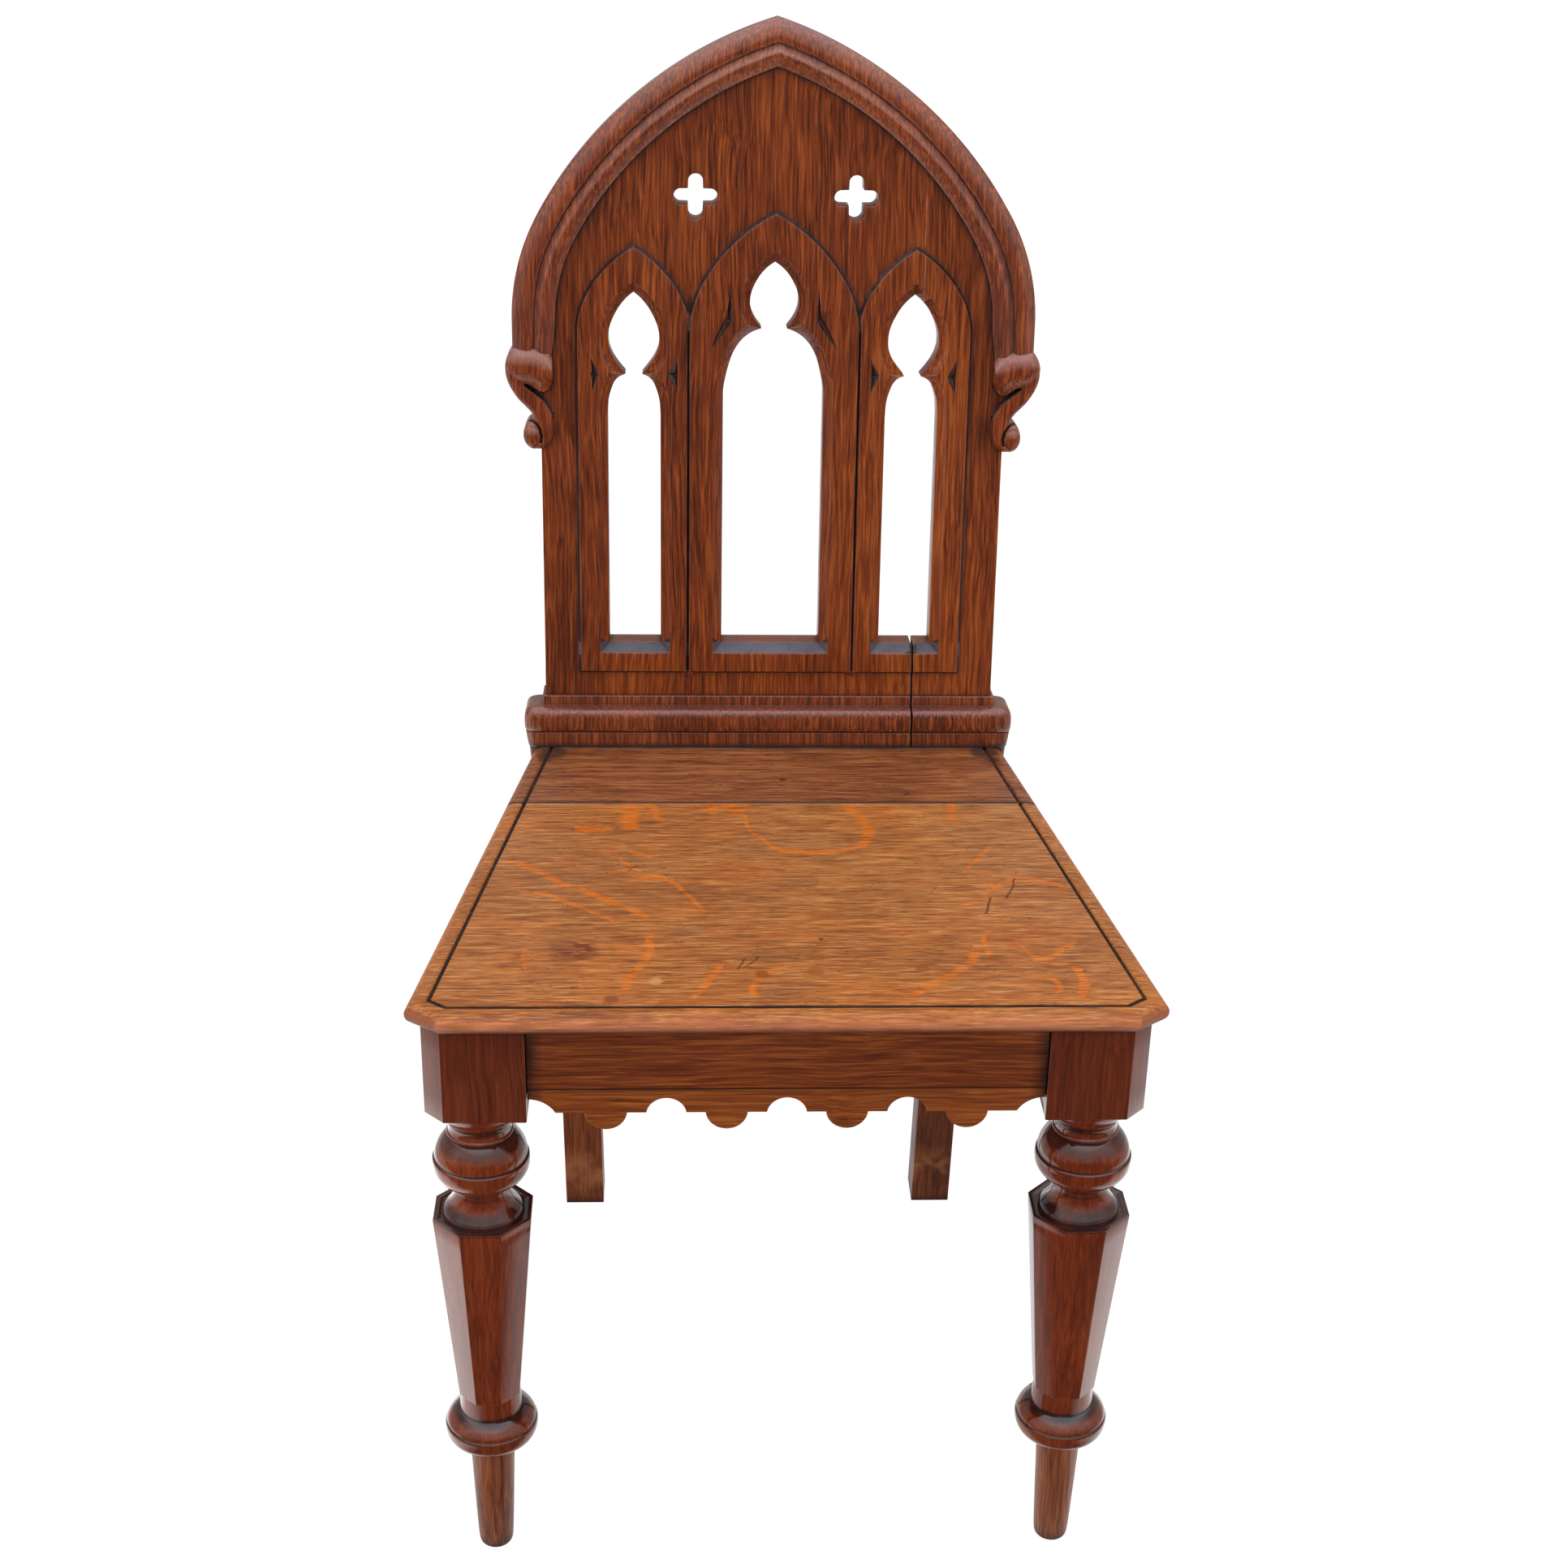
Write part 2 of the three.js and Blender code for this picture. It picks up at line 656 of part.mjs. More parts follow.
function grooveCutters() {
  return [-1, 1].map((side) => {
    const x = side * middleLancetHalfWidth;
    return planPlate(
      [[x - grooveWidth, -lancetRise - grooveDepth], [x + grooveWidth, -lancetRise - grooveDepth],
        [x, -lancetRise + grooveDepth]],
      lancetFoot - grooveDepth, lancetSpringing + grooveHead);
  });
}

// Screws point along +z from the face of the head; extra grows one into its hole.
function screw(length, extra) {
  return turned([
    [0, -extra], [screwHeadRadius + extra, -extra], [screwRadius + extra, screwHeadLength],
    [screwRadius + extra, length - screwTipLength], [extra, length + extra], [0, length + extra],
  ].filter(([radius], i, all) => i === 0 || radius > 0 || i === all.length - 1), screwSegments);
}

const backScrewLength = backScrewBite + uprightDepth + gap;
const backScrewX = backScrewSpan;

function backScrewAt(x, height, extra) {
  const geometry = screw(backScrewLength, extra);
  return geometry.rotateX(Math.PI / 2).translate(x, boardThickness + gap + uprightDepth, height);
}

const seatScrewLength = glueBlockHeight + gap + seatScrewBite;

// Each glue block fills a corner; its screw stands a third of the way out along both sides.
function glueBlock(cornerX, cornerDepth, turn) {
  const far = cornerDepth + turn * glueBlockLeg;
  const slant = turn < 0 ? railInnerAt(far) - railInnerAt(cornerDepth) : 0;
  const points = [[cornerX, cornerDepth], [cornerX + slant, far], [cornerX - glueBlockLeg, cornerDepth]];
  return {
    block: planPlate(points, frameTop - glueBlockHeight, frameTop),
    x: cornerX - glueBlockLeg / 3,
    y: cornerDepth + turn * glueBlockLeg / 3,
  };
}

const frontGlueBlock = glueBlock(blockInner - gap, railSetback + railThickness + gap, 1);
const rearGlueBlock = glueBlock(
  railInnerAt(rearRailFront - gap) - gap * taperStretch, rearRailFront - gap, -1);

function seatScrewIn({ x, y }, extra) {
  return screw(seatScrewLength, extra).translate(x, y, frameTop - glueBlockHeight);
}

// Board with its raised lancets, openings, grooves, darts and screw holes
function backBlank() {
  const raised = lancets.map(({ centre, halfWidth, head, radius }) => (
    frontPlate(lancetOutline(centre, halfWidth, head, radius), -lancetRise, lancetRise + overrun)));
  const board = joined([frontPlate(boardOutline(0), 0, boardThickness), ...raised]);
  const holes = [-1, 1].flatMap((side) => (
    backScrewHeights.map((height) => backScrewAt(side * backScrewX, height, gap))));
  return cut(board, [
    ...openings.flatMap(openingCutters),
    ...quatrefoilCutters(),
    ...dartCutters(),
    ...grooveCutters(),
    ...holes,
  ]);
}

// Keeps what lies on one side of the open joint in the back.
function besideJoint(geometry, side) {
  const near = boardJoint + side * gap / 2;
  const far = side * 2 * seatWidth;
  const reach = 2 * backHeight;
  const keep = boxBetween([Math.min(near, far), -reach, -reach], [Math.max(near, far), reach, reach]);
  return common(geometry, keep);
}

// Arch moulding along the board's outer edge
class ArchEdge extends THREE.Curve {
  constructor() {
    super();
    const [upperX, , upperRadius] = archShape.upper;
    this.foot = archSpringing - archFoot;
    this.lowerLength = archShape.lower[2] * archTurn;
    this.apexAngle = Math.acos(-upperX / upperRadius) + mitreOverrun;
    this.upperLength = upperRadius * (this.apexAngle - archTurn);
    this.total = this.foot + this.lowerLength + this.upperLength;
  }

  getPoint(t, target = new THREE.Vector3()) {
    const along = t * this.total;
    if (along < this.foot) return target.set(archHalfWidth, 0, archFoot + along);
    const onLower = along < this.foot + this.lowerLength;
    const [x, h, radius] = onLower ? archShape.lower : archShape.upper;
    const start = onLower ? this.foot : this.foot + this.lowerLength;
    const angle = (onLower ? 0 : archTurn) + (along - start) / radius;
    return target.set(x + radius * Math.cos(angle), 0, archSpringing + h + radius * Math.sin(angle));
  }
}

function archMoulding() {
  const section = archMouldingShares.map(([across, out]) => [
    gap + out * (archMouldingProjection - gap), -across * archMouldingWidth]);
  const path = new ArchEdge();
  const geometry = new THREE.ExtrudeGeometry(outlineShape(section), {
    steps: archMouldingSteps,
    extrudePath: path,
  });
  const keep = boxBetween([gap / 2, -backHeight, -backHeight], [seatWidth, backHeight, 2 * backHeight]);
  return cut(common(geometry, keep), [scrollPlate(gap)]);
}

// The scroll's outline as a plate; extra grows it into a cutter for the moulding that stands on it.
function scrollPlate(extra) {
  const outline = placed(
    scrollShares, scrollInner - extra, scrollFoot - extra, scrollWidth + 2 * extra, scrollHeight + 2 * extra);
  const front = -scrollProjection - extra;
  return frontPlate(outline, front, scrollThickness + 2 * extra);
}

function scroll() {
  const plate = scrollPlate(0);
  const [across, up] = scrollBulbShares;
  const dome = new THREE.SphereGeometry(scrollBulbRadius, turningSegments, turningSegments / 2);
  dome.rotateX(Math.PI / 2).scale(1, scrollBulbProjection / scrollBulbRadius, 1);
  dome.translate(scrollInner + across * scrollWidth, 0, scrollFoot + up * scrollHeight);
  const board = frontPlate(boardOutline(gap), -gap, boardThickness + 2 * overrun);
  return cut(joined([plate, dome]), [board]);
}

// Base moulding: one section seen from the side, the other from the front, so that it mitres at the ends
function baseSection(band, torus) {
  const foot = backLevel(seatHeight, 0) - baseDrop;
  const points = [[band, foot]];
  for (let i = 0; i <= baseTorusSteps; i += 1) {
    const angle = -baseTorusTurn + (baseTorusTurn + Math.PI / 2) * i / baseTorusSteps;
    points.push([torus + baseTorusRadius * Math.cos(angle), -baseTorusHeight + baseTorusRadius * Math.sin(angle)]);
  }
  points.push([baseFilletProjection, -baseTorusHeight + baseTorusRadius], [baseFilletProjection, baseFilletTop]);
  return points;
}

function baseMoulding() {
  const front = baseSection(baseBandFront, baseTorusFront).map(([out, h]) => [-out, h]);
  const frontProfile = [...front, [boardThickness, baseFilletTop], [boardThickness, front[0][1]]];
  const side = baseSection(baseBandSide, baseTorusSide).map(([out, h]) => [stileHalfWidth + out, h]);
  const sideProfile = [...side, ...side.slice().reverse().map(([x, h]) => [-x, h])];
  const bar = sidePlate(frontProfile, -seatWidth, seatWidth);
  const ends = frontPlate(sideProfile, -boardThickness, 2 * boardThickness + overrun);
  const board = frontPlate(boardOutline(gap), -gap, boardThickness + 2 * overrun);
  return cut(common(bar, ends), [board]);
}

// Materials, polished oak that is redder on the legs and yellower on the seat
const legOak = { color: 0x6d3118, roughness: 0.32, metalness: 0 };
const backOak = { color: 0x7c3f1d, roughness: 0.42, metalness: 0 };
const railOak = { color: 0x80451f, roughness: 0.45, metalness: 0 };
const seatOak = { color: 0xb4692f, roughness: 0.5, metalness: 0 };
const hiddenOak = { color: 0x6f4a2c, roughness: 0.7, metalness: 0 };
const steel = { color: 0x6b6660, roughness: 0.45, metalness: 1 };

const chair = new THREE.Group();
const back = new THREE.Group();
back.position.set(0, footLineDepth, footLineHeight);
back.rotation.x = -rake;
chair.add(back);

function addPiece(group, name, geometry, look) {
  const piece = new THREE.Mesh(geometry, new THREE.MeshStandardMaterial(look));
  piece.name = name;
  group.add(piece);
}

function addPair(group, name, geometry, look) {
  addPiece(group, `${name}_right`, geometry, look);
  addPiece(group, `${name}_left`, mirrored(geometry), look);
}

const frontLeg = cut(frontLegBlank(), [frontTenon(gap), sideTenon(gap)]);
const uprightHoles = backScrewHeights.map((height) => backScrewAt(backScrewX, height, gap).applyMatrix4(backFrame));
const rearLeg = cut(rearLegBlank(0), [sideTenon(gap), ...uprightHoles]);
const sideRail = joined([cut(sideRailBody(0), [rearLegBlank(gap)]), sideTenon(0)]);
addPair(chair, 'front_leg', frontLeg, legOak);
addPair(chair, 'rear_leg', rearLeg, legOak);
addPair(chair, 'side_rail', sideRail, railOak);

const railReach = blockInner - gap;
const frontRail = joined([
  boxBetween([-railReach, railSetback, railFoot], [railReach, railSetback + railThickness, frameTop]),
  frontTenon(0)]);
addPiece(chair, 'front_rail', frontRail, railOak);
addPiece(chair, 'front_apron', frontPlate(apronOutline(), apronSetback, apronThickness), railOak);
addPiece(chair, 'rear_rail', cut(rearRailBlank(), [sideRailBody(gap), mirrored(sideRailBody(gap))]), railOak);

const seatHoles = [frontGlueBlock, rearGlueBlock].flatMap((corner) => {
  const hole = seatScrewIn(corner, gap);
  return [hole, mirrored(hole)];
});
addPiece(chair, 'seat_front_board', cut(seatBoard(-overrun, seatSeam - gap / 2), seatHoles), seatOak);
addPiece(chair, 'seat_rear_board', cut(seatBoard(seatSeam + gap / 2, seatDepth + overrun), seatHoles), seatOak);

const corners = [frontGlueBlock, frontGlueBlock, rearGlueBlock, rearGlueBlock];
corners.forEach((corner, i) => {
  const block = cut(corner.block, [seatScrewIn(corner, gap)]);
  const fastener = seatScrewIn(corner, 0);
  const onLeft = i % 2 === 0;
  addPiece(chair, `glue_block_${i + 1}`, onLeft ? mirrored(block) : block, hiddenOak);
  addPiece(chair, `seat_screw_${i + 1}`, onLeft ? mirrored(fastener) : fastener, steel);
});

const board = backBlank();
addPiece(back, 'back_board', besideJoint(board, -1), backOak);
addPiece(back, 'back_board_right', besideJoint(board, 1), backOak);
const moulding = baseMoulding();
addPiece(back, 'base_moulding', besideJoint(moulding, -1), backOak);
addPiece(back, 'base_moulding_right', besideJoint(moulding, 1), backOak);
addPair(back, 'arch_moulding', archMoulding(), backOak);
addPair(back, 'scroll', scroll(), backOak);

backScrewHeights.forEach((height, row) => {
  [-1, 1].forEach((side, column) => {
    addPiece(back, `back_screw_${2 * row + column + 1}`, backScrewAt(side * backScrewX, height, 0), steel);
  });
});

// Stands the chair on the floor with the middle of its footprint at the origin.
chair.updateMatrixWorld(true);
const extent = new THREE.Box3().setFromObject(chair, true);
const middle = extent.getCenter(new THREE.Vector3());
chair.position.set(-middle.x, -middle.y, -extent.min.z);

export default chair;
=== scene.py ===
# Hall chair in worn oak: the shaped pieces, their materials, the light and the camera.
# The pieces are drawn in millimetres in the part's own layout (y = 0 at the seat's front
# edge, z = 0 on the floor) and turned into metres as they are made.

import math

import bpy
import numpy as np
from mathutils import Matrix, Vector
from mathutils.geometry import delaunay_2d_cdt


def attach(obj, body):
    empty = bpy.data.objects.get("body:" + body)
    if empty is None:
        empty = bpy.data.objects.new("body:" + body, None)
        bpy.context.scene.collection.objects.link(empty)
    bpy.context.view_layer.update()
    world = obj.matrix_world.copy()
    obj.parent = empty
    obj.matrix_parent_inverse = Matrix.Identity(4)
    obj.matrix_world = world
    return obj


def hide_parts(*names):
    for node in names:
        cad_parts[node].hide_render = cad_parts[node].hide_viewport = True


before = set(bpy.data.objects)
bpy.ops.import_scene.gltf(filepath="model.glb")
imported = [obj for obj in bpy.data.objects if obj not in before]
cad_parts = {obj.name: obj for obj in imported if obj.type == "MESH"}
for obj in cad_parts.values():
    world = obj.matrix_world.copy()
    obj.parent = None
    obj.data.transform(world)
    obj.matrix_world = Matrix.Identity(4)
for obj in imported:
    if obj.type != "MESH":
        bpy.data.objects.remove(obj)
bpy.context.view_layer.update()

# Overall sizes, in millimetres

MM = 0.001
SEAT_WIDTH = 445.0
SEAT_REAR_WIDTH = 333.0
SEAT_DEPTH = 373.5
SEAM = 280.6
APRON_TOP = 366.7
BACK_HEIGHT = 459.0
RAKE = math.radians(5.74)
MIDDLE_DEPTH = 225.198
FOOT_LINE = (382.6, 458.3)
STILE_HALF = 157.9
STILE_TOP = 222.0
ARCH_FOOT = 240.0
ARCH_SPRINGING = 263.3
ARCH_HALF = 176.2
ARCH_RADIUS = 141.0
ARCH_TURN = math.radians(30)
BOARD_THICKNESS = 22.0
BOARD_FOOT = -89.5
JOINT = 100.2
LANCET_RISE = 3.5
CHAMFER = 6.5
SILL_LEVEL = 492.3
ROUND = 96
MIRROR = np.array([-1, 1])


def to_part(points):
    """Chair layout in millimetres to the part's frame in metres."""
    out = np.array(points, dtype=float).reshape(-1, 3)
    out[:, 1] -= MIDDLE_DEPTH
    return out * MM


def from_back(points):
    """Raked back plane (across, out to the front, up) to the chair layout."""
    across, front, up = np.array(points, dtype=float).reshape(-1, 3).T
    depth = FOOT_LINE[0] - front * math.cos(RAKE) + up * math.sin(RAKE)
    height = FOOT_LINE[1] + front * math.sin(RAKE) + up * math.cos(RAKE)
    return np.stack([across, depth, height], axis=1)


# Mesh helpers

def add_piece(name, points, faces, material, node, slot, sharp=38.0, second=None, painted=()):
    """One piece; the faces listed as painted take the second material."""
    mesh = bpy.data.meshes.new(name)
    mesh.from_pydata(to_part(points).tolist(), [], [list(face) for face in faces])
    mesh.materials.append(material)
    if second:
        mesh.materials.append(second)
        for index in painted:
            mesh.polygons[index].material_index = 1
    mesh.validate()
    mesh.polygons.foreach_set("use_smooth", [True] * len(mesh.polygons))
    mesh.set_sharp_from_angle(angle=math.radians(sharp))
    piece = bpy.data.objects.new(name, mesh)
    bpy.context.scene.collection.objects.link(piece)
    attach(piece, "root")
    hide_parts(node)
    return piece


def mirrored(points, faces):
    """The same body on the other side of the chair."""
    return points * np.array([-1, 1, 1]), [face[::-1] for face in faces]


def add_pair(name, points, faces, material, node, slot, **finish):
    """A piece on the right, and its mirror image on the left."""
    for side in ("right", "left"):
        add_piece(f"{name}_{side}", points, faces, material, f"{node}_{side}", slot, **finish)
        points, faces = mirrored(points, faces)


def upright(outline, level):
    """A flat outline at a height."""
    return np.column_stack([outline, np.full(len(outline), level)])


def bands_between(levels, count, closed):
    """Quads between rings of points that are numbered one after the other."""
    faces = []
    for low in range(0, (levels - 1) * count, count):
        for i in range(count if closed else count - 1):
            j = (i + 1) % count
            faces.append((low + i, low + j, low + count + j, low + count + i))
    return faces


def loft(rings, closed=True):
    """Quads between rings of equal length, with the first and last ring filled if closed."""
    count = len(rings[0])
    faces = bands_between(len(rings), count, True)
    if closed:
        top = (len(rings) - 1) * count
        faces += [tuple(range(count - 1, -1, -1)), tuple(range(top, top + count))]
    return np.concatenate(rings), faces


def merge(parts):
    """Several (points, faces) sets as one."""
    points, faces, start = [], [], 0
    for part_points, part_faces in parts:
        points.append(np.array(part_points, dtype=float))
        faces += [tuple(i + start for i in face) for face in part_faces]
        start += len(part_points)
    return np.concatenate(points), faces


def smooth_run(run, steps=4):
    """Catmull-Rom curve through the points of one run, ends included."""
    points = np.array(run, dtype=float)
    if len(points) < 3:
        return points
    padded = np.concatenate([[2 * points[0] - points[1]], points, [2 * points[-1] - points[-2]]])
    out = []
    for i in range(1, len(padded) - 2):
        p0, p1, p2, p3 = padded[i - 1:i + 3]
        for k in range(steps):
            t = k / steps
            out.append(0.5 * (2 * p1 + (p2 - p0) * t + (2 * p0 - 5 * p1 + 4 * p2 - p3) * t ** 2
                              + (3 * p1 - p0 - 3 * p2 + p3) * t ** 3))
    out.append(points[-1])
    return np.array(out)


def smooth_runs(runs, steps=4):
    return np.concatenate([smooth_run(run, steps) for run in runs])


def resampled(run, spacing=5.0):
    """The same polyline with points no further apart than the spacing."""
    points = np.array(run, dtype=float)
    out = [points[0]]
    for a, b in zip(points[:-1], points[1:]):
        pieces = max(1, math.ceil(np.linalg.norm(b - a) / spacing))
        for k in range(1, pieces + 1):
            out.append(a + (b - a) * k / pieces)
    return np.array(out)


def unit(vectors):
    """Vectors brought to length one."""
    return vectors / np.linalg.norm(vectors, axis=-1, keepdims=True)


def rounded_outline(corners, radius, steps=3, spacing=8.0):
    """Closed outline with each corner rounded, and points along its sides."""
    corners = [np.array(c, dtype=float) for c in corners]
    out = []
    for corner, previous, following in zip(corners, corners[-1:] + corners[:-1], corners[1:] + corners[:1]):
        before, after = unit(previous - corner), unit(following - corner)
        half = math.acos(max(-1, min(1, float(before @ after)))) / 2
        cut = radius / math.tan(half)
        start, end = corner + before * cut, corner + after * cut
        for k in range(steps + 1):
            t = k / steps
            out.append((1 - t) ** 2 * start + 2 * t * (1 - t) * corner + t ** 2 * end)
        length = np.linalg.norm(following - corner) - 2 * cut
        pieces = max(1, round(length / spacing))
        out += [end + after * length * k / pieces for k in range(1, pieces)]
    return np.array(out)


def prism(outline_at, low, high, edge_low, edge, steps=3, rings_between=3):
    """Upright prism from outline_at(inset), with both rims rounded."""
    levels = []
    for k in range(steps + 1):
        angle = math.pi / 2 * k / steps
        levels.append((edge_low * (1 - math.sin(angle)), low + edge_low * (1 - math.cos(angle))))
    for k in range(1, rings_between + 1):
        levels.append((0, low + (high - low) * k / (rings_between + 1)))
    for k in range(steps + 1):
        angle = math.pi / 2 * (1 - k / steps)
        levels.append((edge * (1 - math.sin(angle)), high - edge * (1 - math.cos(angle))))
    return loft([upright(outline_at(inset), level) for inset, level in levels])


def lathe(runs, centre):
    """Turning round an upright axis from runs of (height, radius) points."""
    angles = np.arange(ROUND) * 2 * math.pi / ROUND
    circle = np.column_stack([np.cos(angles), np.sin(angles)])
    return loft([upright(centre + radius * circle, height) for height, radius in smooth_runs(runs)])


# Oak, in one node recipe with its own colours and grain for each use

class Value:
    """One output of a node, which takes part in sums."""

    def __init__(self, nodes, socket):
        self.nodes = nodes
        self.socket = socket

    def __add__(self, other):
        return self.nodes.math("ADD", self, other)

    def __sub__(self, other):
        return self.nodes.math("SUBTRACT", self, other)

    def __rsub__(self, other):
        return self.nodes.math("SUBTRACT", other, self)

    def __mul__(self, other):
        return self.nodes.math("MULTIPLY", self, other)

    def __abs__(self):
        return self.nodes.math("ABSOLUTE", self)


class Nodes:
    """Short calls for building the node tree of a new material, or of the world."""

    def __init__(self, name, world=None):
        self.owner = world or bpy.data.materials.new(name)
        self.owner.use_nodes = True
        self.tree = self.owner.node_tree
        self.tree.nodes.clear()
        self.place = self.out("ShaderNodeTexCoord", "Generated" if world else "Object")
        self.here = self.place
        self.colour = None

    def out(self, kind, output, inputs=None, **settings):
        """One output of a new node whose inputs are given by name or number."""
        node = self.tree.nodes.new(kind)
        for key, value in settings.items():
            setattr(node, key, value)
        for key, value in (inputs or {}).items():
            self.put(node.inputs[key], value)
        return Value(self, node.outputs[output])

    def put(self, socket, value):
        if isinstance(value, Value):
            self.tree.links.new(value.socket, socket)
        elif socket.type == "RGBA":
            socket.default_value = (*value, 1)
        else:
            socket.default_value = value

    def shown_by(self, shader, kind="Material"):
        """Ends the tree with a shader and gives back the material or world."""
        self.put(self.tree.nodes.new(f"ShaderNodeOutput{kind}").inputs["Surface"], shader)
        return self.owner

    def math(self, operation, a, b=0.0, c=0.0, clamp=False):
        return self.out("ShaderNodeMath", 0, {0: a, 1: b, 2: c}, operation=operation, use_clamp=clamp)

    def vector(self, operation, a, b=(0.0, 0.0, 0.0), output=0):
        return self.out("ShaderNodeVectorMath", output, {0: a, 1: b}, operation=operation)

    def part(self, vector, axis):
        return self.out("ShaderNodeSeparateXYZ", axis, {0: vector})

    def level(self, axis, start=0.0):
        """Place along one axis in millimetres, counted from a start."""
        return self.math("MULTIPLY_ADD", self.part(self.place, axis), 1000.0, start)

    def noise(self, vector, scale, detail=3.0, roughness=0.55, output="Fac"):
        return self.out("ShaderNodeTexNoise", output, {
            "Vector": vector, "Scale": scale, "Detail": detail, "Roughness": roughness})

    def streaks(self, stretch, scale, detail=2.0, roughness=0.75):
        """Noise drawn out across the chair."""
        return self.noise(self.vector("MULTIPLY", self.here, (stretch, 1.0, 1.0)), scale, detail, roughness)

    def span(self, value, low, high, to_low=0.0, to_high=1.0):
        ends = {"From Min": low, "From Max": high, "To Min": to_low, "To Max": to_high}
        return self.out("ShaderNodeMapRange", 0, {"Value": value, **ends}, clamp=True)

    def patchy(self, scale, low, high, to_low=0.0, to_high=1.0, detail=3.0):
        return self.span(self.noise(self.here, scale, detail), low, high, to_low, to_high)

    def between(self, low, high, share):
        return self.math("MULTIPLY_ADD", high - low, share, low)

    def largest(self, values):
        total = values[0]
        for value in values[1:]:
            total = self.math("MAXIMUM", total, value)
        return total

    def ramp(self, value, stops):
        output = self.out("ShaderNodeValToRGB", 0, {0: value})
        elements = output.socket.node.color_ramp.elements
        while len(elements) < len(stops):
            elements.new(0.5)
        for element, (place, colour) in zip(elements, stops):
            element.position = place
            element.color = (*colour, 1)
        return output

    def mix(self, share, a, b):
        return self.out("ShaderNodeMix", 2, {"Factor": share, 6: a, 7: b}, data_type="RGBA")

    def paint(self, share, colour):
        """Lays a share of one more colour over the surface."""
        self.colour = self.mix(share, self.colour, colour)


def linear(red, green, blue):
    """Display colour 0-255 to linear."""
    def one(value):
        value /= 255
        return value / 12.92 if value <= 0.04045 else ((value + 0.055) / 1.055) ** 2.4
    return (one(red), one(green), one(blue))


def stronger(colour, share):
    """A lighter or darker version of a colour."""
    return tuple(min(1.0, value * share) for value in colour)


def oak(name, dark, middle, light, along="z", shade=1.0, seed=0.0, fibre=1.0, flecks=0.5, bands=0.8,
        patches=1.2, gloss=0.38, coat=0.0, coat_rough=0.2, specular=0.35, wear_and_highlight=0.25, wear_and_highlight_colour=None,
        dirt_and_shade_reach=5.0, dirt_and_shade_colour=(0.010, 0.007, 0.007), rake=0.0, bump=0.35, top_layer=None):
    """Polished oak with its grain along one axis, with worn arrises that carry a painted highlight, and
    with dirt and painted shade in its creases.
    """
    dark, middle, light = (stronger(linear(*tone), shade) for tone in (dark, middle, light))
    n = Nodes(name)
    n.here = n.out("ShaderNodeMapping", 0, {
        "Vector": n.place, "Rotation": (rake, 0, 0), "Location": (seed, seed * 0.7, seed * 1.3)})
    drift = n.noise(n.here, 9.0, detail=2.0, output="Color")
    wandering = n.vector("ADD", n.here, n.vector("MULTIPLY", drift, (0.010, 0.010, 0.010)))

    def grain(share, scale, detail=2.0, roughness=0.6):
        stretch = tuple(share if axis == along else 1.0 for axis in "xyz")
        return n.noise(n.vector("MULTIPLY", wandering, stretch), scale, detail, roughness)

    band = grain(0.018, 300.0)
    broad = grain(0.25, 16.0, roughness=0.5)
    line = grain(0.03, 760.0)
    fleck = grain(0.035, 900.0, detail=1.0, roughness=0.55)
    tone = (band - 0.5) * (bands * 1.5) + 0.5 + (broad - 0.5) * patches
    tone = n.math("ADD", tone, (line - 0.5) * (fibre * 1.5), clamp=True)
    n.colour = n.ramp(tone, [(0.10, dark), (0.5, middle), (0.90, light)])
    pore = n.span(fleck, 0.40, 0.28)
    n.paint(pore * flecks, stronger(dark, 0.30))
    n.paint(n.span(fleck, 0.64, 0.76) * (flecks * 0.8), stronger(light, 1.5))
    if top_layer:
        top_layer(n)

    # Creases darken with ambient occlusion: dirt and painted shade.
    occlusion = n.out("ShaderNodeAmbientOcclusion", "AO", {"Distance": dirt_and_shade_reach * MM}, samples=8)
    crease_dirt_and_shade = n.span(occlusion, 0.45, 0.92, 1.0, 0.0) * n.patchy(45.0, 0.25, 0.65, 0.7, 1.0)
    n.paint(crease_dirt_and_shade * 0.85, dirt_and_shade_colour)
    # Arrises are lighter: worn, with a painted highlight along them.
    bevel = n.out("ShaderNodeBevel", 0, {"Radius": 0.9 * MM}, samples=6)
    facing = n.vector("DOT_PRODUCT", bevel, n.out("ShaderNodeNewGeometry", "Normal"), output="Value")
    arris_wear_and_highlight = n.span(facing, 0.90, 0.995, 1.0, 0.0) * n.span(occlusion, 0.75, 0.95)
    arris_wear_and_highlight = arris_wear_and_highlight * n.patchy(70.0, 0.4, 0.6, 0.25, 1.0, detail=2.0)
    n.paint(arris_wear_and_highlight * wear_and_highlight, wear_and_highlight_colour or stronger(light, 1.9))

    height = line * 0.7 - pore + n.noise(n.here, 110.0, detail=2.0) * 1.6
    rough = n.math("MULTIPLY_ADD", n.noise(n.here, 55.0, detail=4.0), 0.22, gloss - 0.11)
    rough = n.math("ADD", rough, crease_dirt_and_shade * 0.35, clamp=True)
    return n.shown_by(n.out("ShaderNodeBsdfPrincipled", 0, {
        "Base Color": n.colour,
        "Roughness": n.math("ADD", rough, pore * 0.15, clamp=True),
        "Normal": n.out("ShaderNodeBump", 0, {"Strength": bump, "Distance": 0.12 * MM, "Height": height}),
        "Specular IOR Level": specular,
        "Coat Weight": coat,
        "Coat Roughness": coat_rough,
    }))


# Marks on the seat, in millimetres on its top: ray flecks as curves across ("x") or back ("y") with
# their half width, scratches drawn the same way, and round marks with their reach and colour

